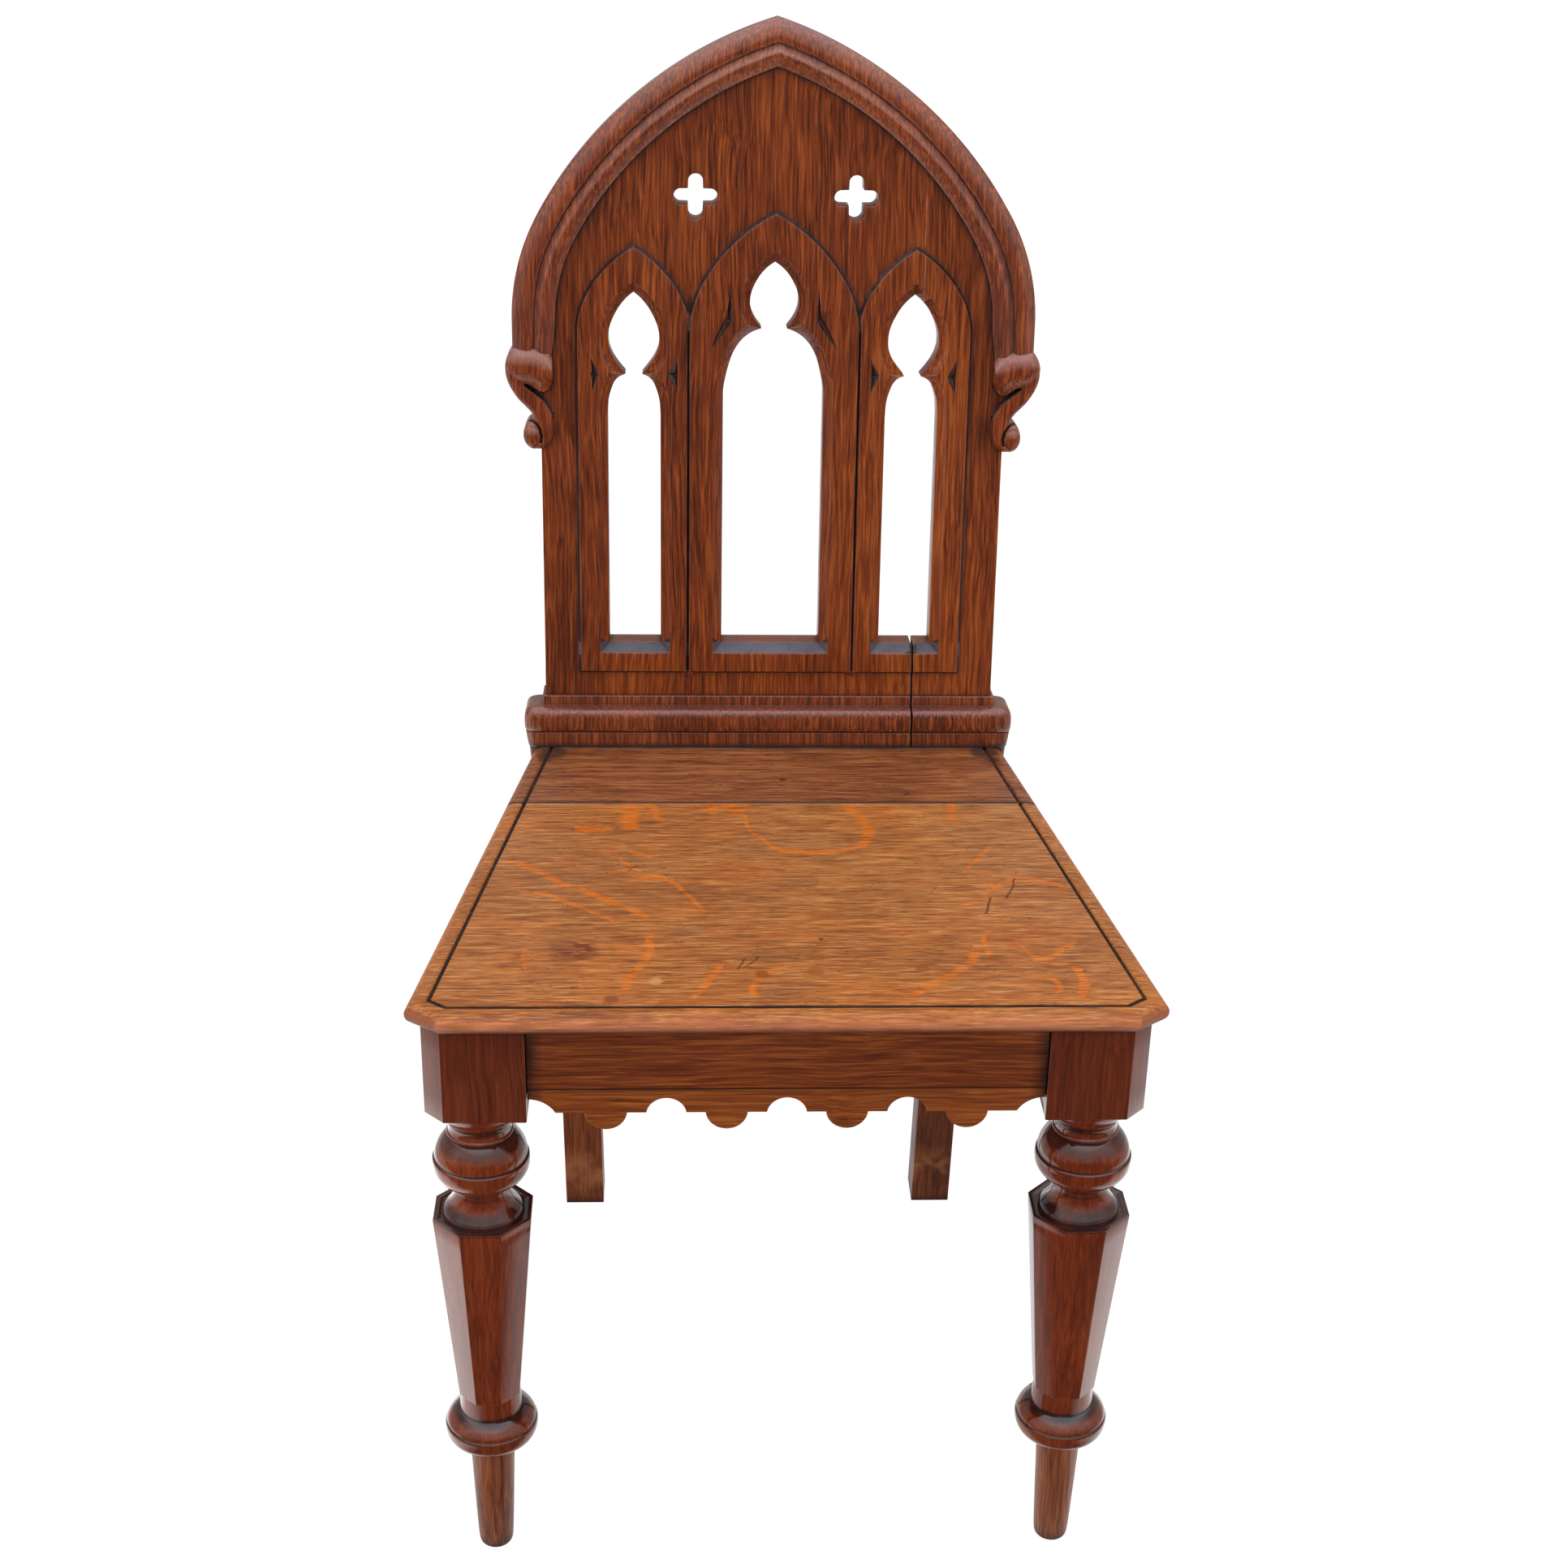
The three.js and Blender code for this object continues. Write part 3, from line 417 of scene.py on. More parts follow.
RAY_FLECKS = [
    ("x", 2.0, [(-18.5, 241), (-9, 225.5), (0.5, 213), (12, 208.7), (28, 207.3), (42, 208.7), (55, 217)]),
    ("y", 2.8, [(212, 52), (229, 60), (244, 61.5), (258, 57.7), (267, 52.8), (280, 51)]),
    ("y", 0.9, [(236, -16), (250, -18.4), (263, -19.8)]),
    ("y", 4.6, [(238, -96), (255, -97.3), (280, -96.6)]),
    ("y", 1.9, [(250, -76), (262, -79), (280, -83)]),
    ("x", 1.4, [(-96, 276), (-84, 277)]),
    ("x", 3.4, [(-133, 243), (-124, 241), (-115, 250)]),
    ("x", 1.5, [(-124, 240), (-108, 237.5)]),
    ("x", 2.4, [(-53, 277), (-36, 273), (-13, 277)]),
    ("y", 2.2, [(262, -41), (280, -42)]),
    ("y", 3.6, [(261, -24), (280, -27)]),
    ("y", 2.0, [(254, 120.3), (280, 120)]),
    ("x", 2.6, [(-177, 195), (-161.6, 187.5), (-148, 174.9), (-134.6, 161.9), (-121, 151.7), (-108, 141.6),
                (-95.6, 131.6), (-80, 116)]),
    ("x", 1.6, [(-167, 155.1), (-150, 150.4), (-133.6, 139.6), (-117.4, 126.4), (-103, 114)]),
    ("x", 1.4, [(-104, 205), (-98.4, 191.7), (-88, 181)]),
    ("x", 1.6, [(-96, 208), (-81, 201)]),
    ("x", 2.6, [(-89, 171), (-73.8, 170.7), (-62.5, 157), (-54.6, 141.5), (-47, 124)]),
    ("y", 2.0, [(30, -97), (50, -91), (65, -85.3), (79, -81), (101, -82.6)]),
    ("y", 1.8, [(22, -57.5), (29, -52.3), (47, -44.7), (63, -38)]),
    ("y", 1.8, [(22, -19), (29, -21.2), (44, -16.3), (55, -6.9), (61, 6)]),
    ("y", 1.3, [(182, 121), (198, 130), (215, 141)]),
    ("x", 2.0, [(112, 133), (126, 144.4), (139, 161.3), (153, 168.2), (169, 166.1), (183, 157)]),
    ("y", 2.3, [(23, 72), (37, 85.2), (49, 98.4), (64, 110.7), (82, 116)]),
    ("y", 1.2, [(68, 124), (89, 121.8), (103, 128)]),
    ("x", 1.8, [(139, 93), (145, 79.6), (152.4, 67.2), (169.5, 79.5), (179, 89)]),
    ("y", 2.0, [(20, 170), (37, 175.4), (52, 174.6), (60, 168)]),
    ("x", 1.3, [(147, 65), (158, 62), (170, 60)]),
    ("y", 1.5, [(23, 155), (34, 160), (46, 156)]),
    ("x", 1.2, [(144, 46), (157, 46)]),
    ("y", 0.9, [(56, -154.5), (68.6, -157.2), (81, -155)]),
]
SCRATCHES = [
    ("y", 0.6, [(142, 141.5), (171, 151)]), ("y", 0.7, [(123, 126.5), (145, 132.4)]),
    ("y", 0.5, [(55, -29), (69, -24.5)]), ("y", 0.5, [(58, -24), (70, -15.8)]),
    ("x", 0.5, [(-97, 181), (-90, 190)]), ("x", 0.5, [(95, 151), (100, 159)]),
]
ROUND_MARKS = [
    ((-14.6, 48.6), 4.2, (128, 58, 24)), ((17.1, 52.7), 5.0, (146, 74, 30)),
    ((80.8, 55.3), 4.6, (138, 66, 26)), ((-103.2, 21.1), 4.4, (120, 54, 22)),
    ((-78.1, 41.3), 4.2, (196, 148, 88)), ((-12.7, 131.4), 3.2, (150, 84, 40)),
    ((23.1, 91.3), 1.6, (40, 22, 14)),
]
# The last four darken the seat at its back corners, beside the ends of the base moulding.
REAR_MARKS = [
    ((7.8, 317.0), 2.6, (52, 24, 14)), ((93.0, 295.0), 1.6, (50, 26, 16)),
    ((90.9, 292.6), 1.2, (50, 26, 16)), ((-153.0, 362.0), 10.0, (40, 30, 28)),
    ((153.0, 362.0), 10.0, (40, 30, 28)), ((-158.0, 350.0), 5.0, (52, 34, 26)),
    ((158.0, 350.0), 5.0, (52, 34, 26)),
]
STAIN = (-126.6, 79.5)
STAIN_REACH = (17.0, 14.0)
WOBBLE = 5.0


def drawn_curve(n, across, back, kind, half, points):
    """Share of a soft-edged curve through the points, given along one axis of the seat."""
    along, aside = (across, back) if kind == "x" else (back, across)
    first, last = points[0][0], points[-1][0]
    values = [value for _, value in points]
    low, high = min(values) - 1.0, max(values) + 1.0
    share = n.span(along, first, last)
    curve = n.out("ShaderNodeFloatCurve", 0, {"Value": share})
    mapping = curve.socket.node.mapping
    knots = mapping.curves[0].points
    while len(knots) < len(points):
        knots.new(0.5, 0.5)
    for knot, (place, value) in zip(knots, points):
        knot.location = ((place - first) / (last - first), (value - low) / (high - low))
    mapping.update()
    gap = abs(aside - n.math("MULTIPLY_ADD", curve, high - low, low))
    body = n.span(gap, half * 0.9, half * 1.8, 1.0, 0.0)
    return body * (n.span(share, 0.0, 0.05) * n.span(share, 1.0, 0.95))


def round_marks(n, flat, marks):
    for centre, reach, shade in marks:
        gap = n.vector("DISTANCE", flat, (*centre, 0.0), output="Value")
        n.paint(n.span(gap, reach * 0.75, reach * 1.2, 0.75, 0.0), linear(*shade))


# Heights of the dark places on the turned legs, each with its half width and strength: old wax and dirt,
# with painted shade in the hollows
TURNING_DIRT_AND_SHADE = [
    (90.6, 1.0, 0.7), (102.6, 0.8, 0.85), (112.4, 2.6, 0.9), (264.4, 1.4, 0.8), (268.3, 3.4, 0.9),
    (279.6, 1.1, 0.5), (282.6, 1.1, 0.75), (304.8, 0.8, 0.9), (318.2, 4.2, 0.65), (321.2, 0.9, 0.6),
    (330.2, 3.4, 0.8), (344.6, 1.6, 0.6),
]


def turning_layer(n):
    """Dark bands in the coves, necks and quirks of the turned legs: old wax and dirt, and painted shade in
    the hollows.
    """
    level = n.level("Z")
    bands = [n.span(abs(level - middle), half * 0.55, half * 1.25, share, 0.0)
             for middle, half, share in TURNING_DIRT_AND_SHADE]
    n.paint(n.largest(bands) * n.patchy(55.0, 0.30, 0.60, 0.55, 1.0), linear(26, 17, 20))


def rail_layer(n):
    """A dark line where the rail meets the apron, dirt in the joint and a painted shadow under the rail's
    edge, and a darkening towards the legs, dirt and painted shade beside the blocks.
    """
    # Painted shadow line, with dirt, where the apron meets the rail.
    n.paint(n.span(abs(n.level("Z") - APRON_TOP), 0.7, 1.5, 0.85, 0.0), linear(34, 14, 8))
    # Painted shade, with dirt, beside the leg blocks.
    ends = n.span(abs(n.level("X")), 143.0, 151.5, 0.0, 0.85)
    n.paint(ends * n.patchy(60.0, 0.35, 0.6, 0.4, 1.0), linear(44, 24, 20))


def foot_layer(n):
    """Bare wood shows in a patch above the floor, and the very foot is dark."""
    level = n.level("Z")
    patch = n.span(level, 58.0, 36.0) * n.span(level, 6.0, 24.0) * n.patchy(38.0, 0.50, 0.66)
    n.paint(patch * 0.45, linear(168, 108, 66))
    n.paint(n.span(level, 6.0, 1.0, 0.0, 0.6), linear(40, 20, 12))


def sill_layer(n):
    """The sills of the openings are greyer and paler than the other darkened places: dust, and a painted
    reflection of the sky on their upward chamfers.
    """
    sill_dust_and_sheen = n.span(abs(n.level("Z") - SILL_LEVEL), 4.2, 5.2, 0.9, 0.0)
    n.paint(sill_dust_and_sheen * n.patchy(80.0, 0.30, 0.65, 0.5, 1.0), linear(84, 80, 88))


def scroll_layer(n):
    """A painted sheen: paler colour on the sides of the carving that face up."""
    facing = n.part(n.out("ShaderNodeNewGeometry", "Normal"), "Z")
    n.paint(n.span(facing, 0.15, 0.70, 0.0, 0.55), linear(160, 122, 116))


def base_layer(n):
    """A darker strip low on the band of the base moulding, where it meets the seat."""
    level = n.level("Z")
    n.paint(n.span(level, 427.0, 423.2, 0.0, 0.85) * n.span(level, 418.5, 421.5), linear(36, 28, 32))


def rear_seat_layer(n):
    """Dark pores and pale strands, the shaded edge of the seam, and the marks of this board."""
    flat = n.vector("MULTIPLY", n.place, (1000.0, 1000.0, 0.0))
    n.paint(n.span(n.streaks(0.35, 420.0), 0.62, 0.69, 0.0, 0.8), linear(62, 32, 22))
    n.paint(n.span(n.streaks(0.07, 620.0, roughness=0.7), 0.56, 0.70, 0.0, 0.4), linear(188, 130, 84))
    behind = n.level("Y", MIDDLE_DEPTH - SEAM)
    n.paint(n.span(behind, 5.0, 0.6, 0.0, 0.55), linear(66, 38, 28))
    n.paint(n.span(behind, 1.9, 1.2, 0.0, 0.9), linear(36, 22, 20))
    round_marks(n, n.vector("ADD", flat, (0.0, MIDDLE_DEPTH, 0.0)), REAR_MARKS)


def seat_layer(n):
    """Worn polish: dull and warm patches, flecks, strands, specks, scratches and marks, a rubbed edge at
    the seam with a painted highlight, a painted sheen on the nose, and painted shade on its corner cuts and
    under it.
    """
    wobble = n.noise(n.here, 75.0, output="Color")
    bent = n.vector("ADD", n.place, n.vector("MULTIPLY", wobble, (WOBBLE * MM, WOBBLE * MM, 0.0)))
    across = n.math("MULTIPLY_ADD", n.part(bent, "X"), 1000.0, -WOBBLE / 2)
    back = n.math("MULTIPLY_ADD", n.part(bent, "Y"), 1000.0, MIDDLE_DEPTH - WOBBLE / 2)
    strands = n.streaks(0.065, 780.0)
    n.paint(n.span(back, 20.0, 190.0) * n.patchy(10.0, 0.30, 0.62) * 0.55, linear(150, 99, 57))
    n.paint(n.span(n.streaks(0.6, 26.0, 4.0, 0.65), 0.50, 0.68) * 0.40, linear(194, 100, 32))
    n.paint(n.span(n.streaks(0.5, 44.0, 5.0, 0.7), 0.52, 0.70) * 0.50, linear(118, 78, 50))
    fleck = n.largest([drawn_curve(n, across, back, *drawn) for drawn in RAY_FLECKS])
    n.paint(fleck * n.patchy(90.0, 0.32, 0.50, 0.35, 1.0, detail=2.0), linear(200, 104, 26))
    n.paint(n.span(strands, 0.47, 0.35) * 0.8, linear(92, 50, 24))
    n.paint(n.span(strands, 0.55, 0.68) * 0.6, linear(216, 158, 98))
    speck = n.span(n.streaks(0.45, 380.0), 0.655, 0.71) * n.patchy(26.0, 0.42, 0.56, detail=2.0)
    n.paint(speck * 0.85, linear(66, 36, 22))
    scratch = n.largest([drawn_curve(n, across, back, *drawn) for drawn in SCRATCHES])
    n.paint(scratch * 0.8, linear(74, 30, 16))

    flat = n.out("ShaderNodeCombineXYZ", 0, {0: across, 1: back})
    round_marks(n, flat, ROUND_MARKS)
    offset = n.vector("ADD", flat, (-STAIN[0], -STAIN[1], 0.0))
    offset = n.vector("MULTIPLY", offset, (1 / STAIN_REACH[0], 1 / STAIN_REACH[1], 0.0))
    gap = n.vector("LENGTH", offset, output="Value")
    stain = n.span(gap, 0.55, 1.05, 1.0, 0.0) * n.span(n.streaks(0.22, 420.0, 1.0, 0.55), 0.44, 0.54)
    n.paint(stain * 0.85, linear(92, 30, 12))

    # The rubbed edge of the front board at the seam: worn, with a painted highlight.
    n.paint(n.span(n.level("Y", MIDDLE_DEPTH - SEAM), -2.4, -1.0, 0.0, 0.65), linear(208, 150, 106))
    level = n.level("Z")
    # A painted sheen on the upper rounding of the nose.
    nose = n.span(level, 421.9, 418.6, 0.0, 0.6) * n.patchy(40.0, 0.35, 0.6, 0.6, 1.0)
    n.paint(nose, linear(196, 122, 92))
    # The corner cuts, which face aside, are painted darker than the front of the nose: painted shade.
    corner = n.span(abs(n.level("X")), 202.0, 204.5) * n.span(n.level("Y", MIDDLE_DEPTH), 60.0, 18.0)
    n.paint(corner * n.span(level, 421.2, 419.8, 0.0, 0.6), linear(112, 52, 30))
    # Painted shade under the nose.
    n.paint(n.span(level, 415.6, 411.6, 0.0, 0.85), linear(88, 36, 16))


# The pale pink wear colours of the back and the legs are painted highlights on worn arrises.
BACK = {"rake": RAKE, "wear_and_highlight_colour": linear(196, 134, 108)}
LEG = {"wear_and_highlight": 0.35, "bump": 0.05, "flecks": 0.08, "seed": 2.11}

back_oak = oak("back_oak", (66, 28, 16), (112, 50, 22), (150, 76, 30), seed=0.31, gloss=0.29,
               specular=0.42, wear_and_highlight=0.6, bands=0.35, patches=0.8, fibre=1.2, flecks=0.35, **BACK)
# Darker oak for the lancet walls, sill chamfers, darts and the hollows of the arch and the scrolls: dirt
# and painted shade.
dirt_and_shade_oak = oak("dirt_and_shade_oak", (24, 16, 16), (46, 33, 32), (74, 58, 58), seed=1.12, gloss=0.36,
                  specular=0.45, wear_and_highlight=0.2, patches=1.4, fibre=0.8, flecks=0.1, top_layer=sill_layer,
                  **BACK)
arch_oak, scroll_oak = (
    oak(name, (68, 28, 16), (110, 47, 21), (150, 75, 32), seed=0.87, gloss=gloss, specular=specular,
        bands=0.35, patches=0.7, fibre=1.2, flecks=0.15, top_layer=layer, **BACK)
    for name, gloss, specular, layer in (
        ("arch_oak", 0.28, 0.9, None), ("scroll_oak", 0.30, 0.35, scroll_layer)))
base_oak = oak("base_oak", (62, 25, 14), (106, 45, 20), (144, 74, 36), seed=1.53, gloss=0.30,
               specular=0.9, wear_and_highlight=0.35, fibre=1.5, bands=0.35, patches=0.7, flecks=0.4,
               top_layer=base_layer, **BACK)
leg_oak = oak("leg_oak", (62, 21, 8), (97, 36, 13), (128, 56, 22), gloss=0.22, coat=1.0,
              coat_rough=0.08, specular=0.1, wear_and_highlight_colour=linear(196, 130, 100), fibre=0.6, bands=0.5,
              patches=0.7, dirt_and_shade_reach=9.0, dirt_and_shade_colour=(0.010, 0.009, 0.012), top_layer=turning_layer, **LEG)
peg_oak = oak("peg_oak", (62, 28, 14), (106, 52, 27), (142, 82, 48), seed=2.9, gloss=0.36, coat=0.3,
              coat_rough=0.25, specular=0.2, wear_and_highlight=0.1, bump=0.1, bands=0.5, patches=0.8, flecks=0.3,
              dirt_and_shade_reach=14.0)
block_oak = oak("block_oak", (64, 22, 10), (90, 35, 15), (114, 49, 21), gloss=0.24, coat=0.9,
                coat_rough=0.1, specular=0.15, wear_and_highlight_colour=linear(190, 126, 96), fibre=0.7, bands=0.45,
                patches=0.6, **LEG)
rail_oak = oak("rail_oak", (74, 29, 11), (106, 46, 16), (142, 74, 28), "x", seed=3.7, gloss=0.34,
               specular=0.2, wear_and_highlight=0.05, bands=0.45, patches=0.45, flecks=0.25, top_layer=rail_layer)
apron_oak = oak("apron_oak", (82, 36, 12), (121, 57, 17), (152, 83, 30), "x", seed=4.4, gloss=0.36,
                specular=0.2, wear_and_highlight=0.2, bands=0.6, patches=0.8, flecks=0.2, top_layer=rail_layer)
side_rail_oak = oak("side_rail_oak", (74, 31, 13), (108, 49, 21), (142, 76, 32), "y", seed=3.1,
                    gloss=0.36, specular=0.25, bands=0.6, patches=0.7, flecks=0.2)
# The right rear leg takes a darker copy of the same oak: painted shade.
rear_leg_oaks = {
    side: oak(f"rear_leg_oak_{side}", (62, 25, 9), (94, 41, 15), (122, 62, 24), shade=shade, seed=5.2,
              gloss=0.34, specular=0.15, wear_and_highlight=0.2, bands=0.5, patches=0.6, flecks=0.2,
              top_layer=foot_layer)
    for side, shade in (("left", 1.0), ("right", 0.72))}
seat_oak = oak("seat_oak", (124, 66, 26), (165, 95, 42), (196, 127, 64), "x", seed=6.3, gloss=0.46,
               specular=0.25, wear_and_highlight=0.15, flecks=0.3, bands=0.6, patches=0.7, dirt_and_shade_reach=2.6,
               top_layer=seat_layer)
rear_seat_oak = oak("rear_seat_oak", (92, 46, 24), (130, 73, 40), (164, 102, 60), "x", seed=7.7,
                    gloss=0.42, specular=0.3, wear_and_highlight=0.15, fibre=1.6, flecks=0.6, bands=0.9, patches=0.9,
                    dirt_and_shade_reach=9.0, dirt_and_shade_colour=(0.020, 0.019, 0.017), top_layer=rear_seat_layer)
# Dark oak in the incised border line and in the seam: dirt and painted shade.
groove_dirt_and_shade = oak("groove_dirt_and_shade", (30, 20, 17), (52, 35, 28), (92, 62, 44), "x", seed=9.4, gloss=0.6,
                   specular=0.2, wear_and_highlight=0.1, patches=1.6)
hidden_oak = oak("hidden_oak", (88, 52, 30), (122, 80, 46), (152, 106, 66), "x", seed=8.8, gloss=0.68,
                 specular=0.2, wear_and_highlight=0.1)


def steel():
    """Dull steel with rust in patches."""
    n = Nodes("screw_steel")
    stain = n.span(n.noise(n.place, 420.0, detail=4.0), 0.45, 0.65)
    return n.shown_by(n.out("ShaderNodeBsdfPrincipled", 0, {
        "Base Color": n.mix(stain, linear(128, 122, 114), linear(92, 58, 38)),
        "Roughness": n.math("MULTIPLY_ADD", stain, 0.35, 0.38),
        "Metallic": 1.0,
    }))


screw_steel = steel()

# Front legs: a chamfered block, a turned ball, a tapered octagon and a turned foot

FRAME_TOP = 408.0
BLOCK_FOOT = 345.5
BLOCK_HALF = 30.5
BLOCK_CHAMFER = 12.0
LEG_CENTRE = np.array([183.7, 38.8])
OCTAGON = (126.5, 264.4, 18.9, 29.9)

FOOT_RUNS = [
    [(0, 7.2), (0.5, 9.2), (2.0, 10.5), (5.5, 11.1), (12, 11.5), (24, 12.0), (40, 12.6), (60, 13.3),
     (78, 13.95), (89.6, 14.3)],
    [(90.1, 14.9), (90.2, 19.5), (90.3, 24.2)],
    [(90.6, 25.1), (92.2, 27.2), (95.2, 28.8), (98.9, 29.45), (101.4, 29.4), (102.4, 28.95)],
    [(102.9, 28.25), (103.2, 28.3)],
    [(103.6, 28.6), (105.2, 28.05), (107.4, 26.6), (109.6, 24.5), (111.6, 22.0), (112.5, 20.7)],
    [(112.8, 19.85), (116, 19.7), (120, 19.4), (127.2, 18.8)],
]
HEAD_RUNS = [
    [(263.6, 24.9), (264.2, 24.75), (265.3, 24.6)],
    [(265.9, 24.2), (267.0, 23.6), (268.6, 22.3), (271.8, 19.9), (275.4, 18.0), (279.1, 16.8),
     (282.4, 16.4)],
    [(282.8, 17.0), (283.6, 17.3), (284.4, 17.1)],
    [(284.7, 17.6), (286.8, 20.4), (289.2, 24.2), (292.3, 27.2), (296.1, 29.0), (300.1, 29.55),
     (303.3, 29.5), (304.2, 29.1)],
    [(304.7, 28.1), (305.1, 28.05)],
    [(305.5, 28.3), (308.2, 28.1), (311.6, 27.1), (315.5, 25.0), (318.6, 22.5), (320.6, 20.4)],
    [(321.0, 19.6), (321.6, 20.1), (322.6, 20.5), (323.6, 20.0)],
    [(324.1, 19.4), (327.0, 19.15), (329.6, 19.5), (331.9, 20.7), (334.4, 22.6), (338.2, 25.1),
     (342.2, 26.8), (346.0, 27.4)],
]


def leg_block(inset):
    """The block's square section, with one corner cut off on the outer front side."""
    half = BLOCK_HALF - inset
    cut = BLOCK_CHAMFER - inset * (2 - math.sqrt(2))
    corners = [(-half, -half), (half - cut, -half), (half, -half + cut), (half, half), (-half, half)]
    return rounded_outline(corners, 0.7) + LEG_CENTRE


def octagon(apothem):
    """The shaft's section, by the distance from its middle to a side."""
    reach = apothem / math.cos(math.pi / 8)
    angles = [math.pi / 8 + i * math.pi / 4 for i in range(8)]
    corners = [(LEG_CENTRE[0] + reach * math.cos(a), LEG_CENTRE[1] + reach * math.sin(a)) for a in angles]
    return rounded_outline(corners, 0.9, spacing=100.0)


def front_leg():
    """The whole turning, with the faces of the peg below the lowest ring."""
    low, high, small, large = OCTAGON
    levels = [(low - 0.3, small - 1.2), (low, small - 0.2)]
    levels += [(low + (high - 0.8 - low) * k / 12, small + (large - small) * k / 12) for k in range(13)]
    levels += [(high - 0.25, large - 0.2), (high, large - 0.8), (high - 0.5, 26.4), (high - 0.9, 25.1)]
    shaft = loft([upright(octagon(apothem), level) for level, apothem in levels])
    pegs = (len(smooth_run(FOOT_RUNS[0])) - 1) * ROUND
    return merge([lathe(FOOT_RUNS, LEG_CENTRE), lathe(HEAD_RUNS, LEG_CENTRE), shaft]), range(pegs)


turning, peg_faces = front_leg()
block = prism(leg_block, BLOCK_FOOT, FRAME_TOP, 0.8, 0.5)
for side in ("right", "left"):
    add_piece(f"leg_{side}", *turning, leg_oak, f"front_leg_{side}", "leg_wood", second=peg_oak,
              painted=peg_faces)
    add_piece(f"leg_block_{side}", *block, block_oak, f"front_leg_{side}", "leg_wood")
    turning, block = mirrored(*turning), mirrored(*block)

# Scalloped apron

APRON_LEVEL = 349.7
APRON_REACH = 152.9
APRON_DEPTH = (12.5, 24.5)
PITCH = 35.65
NOTCH = (11.8, 10.0)
LOBE = (12.5, 11.6)
END_NOTCH = (16.2, 9.5)


def bow(centre, half, level, rise, steps=16):
    """Arc over a span, from left to right; a negative rise makes it hang."""
    radius = (half * half + rise * rise) / (2 * abs(rise))
    spread = math.asin(half / radius)
    sign = math.copysign(1, rise)
    middle = level + rise - sign * radius
    angles = [spread * (2 * i / steps - 1) for i in range(steps + 1)]
    return [(centre + radius * math.sin(a), middle + sign * radius * math.cos(a)) for a in angles]


def apron():
    """The strip with its scalloped lower edge, cut from one board."""
    right = bow(0, NOTCH[0], APRON_LEVEL, NOTCH[1])[8:]
    for i in range(1, 4):
        half, rise = (LOBE[0], -LOBE[1]) if i % 2 else NOTCH
        right += bow(i * PITCH, half, APRON_LEVEL, rise)
    right += bow(APRON_REACH, END_NOTCH[0], APRON_LEVEL, END_NOTCH[1])[:9]
    right.append((APRON_REACH, APRON_TOP))
    left = [(-x, h) for x, h in reversed(right[1:])]
    outline = resampled(left + right + left[:1], 3.0)[:-1]
    tangent = unit(np.roll(outline, -1, axis=0) - outline) + unit(outline - np.roll(outline, 1, axis=0))
    tangent /= np.maximum(np.linalg.norm(tangent, axis=1), 1e-6)[:, None]
    inward = np.column_stack([-tangent[:, 1], tangent[:, 0]])
    rings = []
    front, rear = APRON_DEPTH
    edge = (0.5, front), (0.15, front + 0.15), (0, front + 0.5), (0, rear - 0.4), (0.3, rear)
    for inset, depth in edge:
        rings.append(np.insert(outline + inward * inset, 1, depth, axis=1))
    points, faces = loft(rings, closed=False)
    count = len(outline)
    verts = [Vector(p) for p in rings[0][:, [0, 2]]]
    edges = [(i, (i + 1) % count) for i in range(count)]
    _, _, triangles, *_ = delaunay_2d_cdt(verts, edges, [list(range(count))], 1, 1e-5)
    faces += [tuple(t) for t in triangles]
    faces += [tuple(i + 4 * count for i in reversed(t)) for t in triangles]
    return points, faces


add_piece("apron", *apron(), apron_oak, "front_apron", "rail_wood")

# Seat: two boards with a rounded nose and an incised border line

SEAM_GAP = 1.1
SEAM_ARRIS = (0.6, 0.45)
CORNER = (20.0, 14.7)
TAPER = (SEAT_WIDTH - SEAT_REAR_WIDTH) / 2 / (SEAT_DEPTH - CORNER[1])
SEAT_LEVELS = [
    (14.6, 408.3), (9.0, 408.35), (5.6, 408.9), (3.6, 409.8), (2.2, 410.9), (1.2, 412.1), (0.5, 413.5),
    (0.12, 415.0), (0.0, 416.4), (0.15, 417.8), (0.7, 419.2), (1.7, 420.4), (3.2, 421.35),
    (5.0, 421.95), (7.2, 422.2), (9.5, 422.3), (10.6, 422.25), (11.05, 421.95), (11.5, 421.2),
    (12.1, 420.75), (12.9, 420.7), (13.5, 421.0), (13.95, 421.75), (14.2, 422.2), (14.6, 422.3),
]
GROOVE_RINGS = (18, 22)


def seat_half(inset, front, rear):
    """The right half of one ring at an inset, front to rear, and how far each place drops at the seam."""
    corner_inset = inset * math.tan(math.atan2(*CORNER) / 2)
    side_inset = inset * math.hypot(1, TAPER)
    start = np.array([SEAT_WIDTH / 2 - CORNER[0] - corner_inset * CORNER[1] / CORNER[0], inset])
    turn = np.array([SEAT_WIDTH / 2 - side_inset - TAPER * corner_inset, CORNER[1] + corner_inset])
    ease, drop = SEAM_ARRIS
    places = []
    first = front
    if front < CORNER[1]:
        places += [(start[0] * k / 12, start[1], 0) for k in range(13)]
        places += [(*(start + (turn - start) * k / 5), 0) for k in range(1, 5)]
        first = turn[1]
    depths = [(first + (rear - first) * k / 24, 0) for k in range(25)]
    if front < CORNER[1]:
        depths[-1:] = [(rear - ease, 0), (rear, drop)]
    else:
        depths[:1] = [(front, drop), (front + ease, 0)]
    for depth, fall in depths:
        places.append((SEAT_WIDTH / 2 - TAPER * (depth - CORNER[1]) - side_inset, depth, fall))
    return np.array(places)


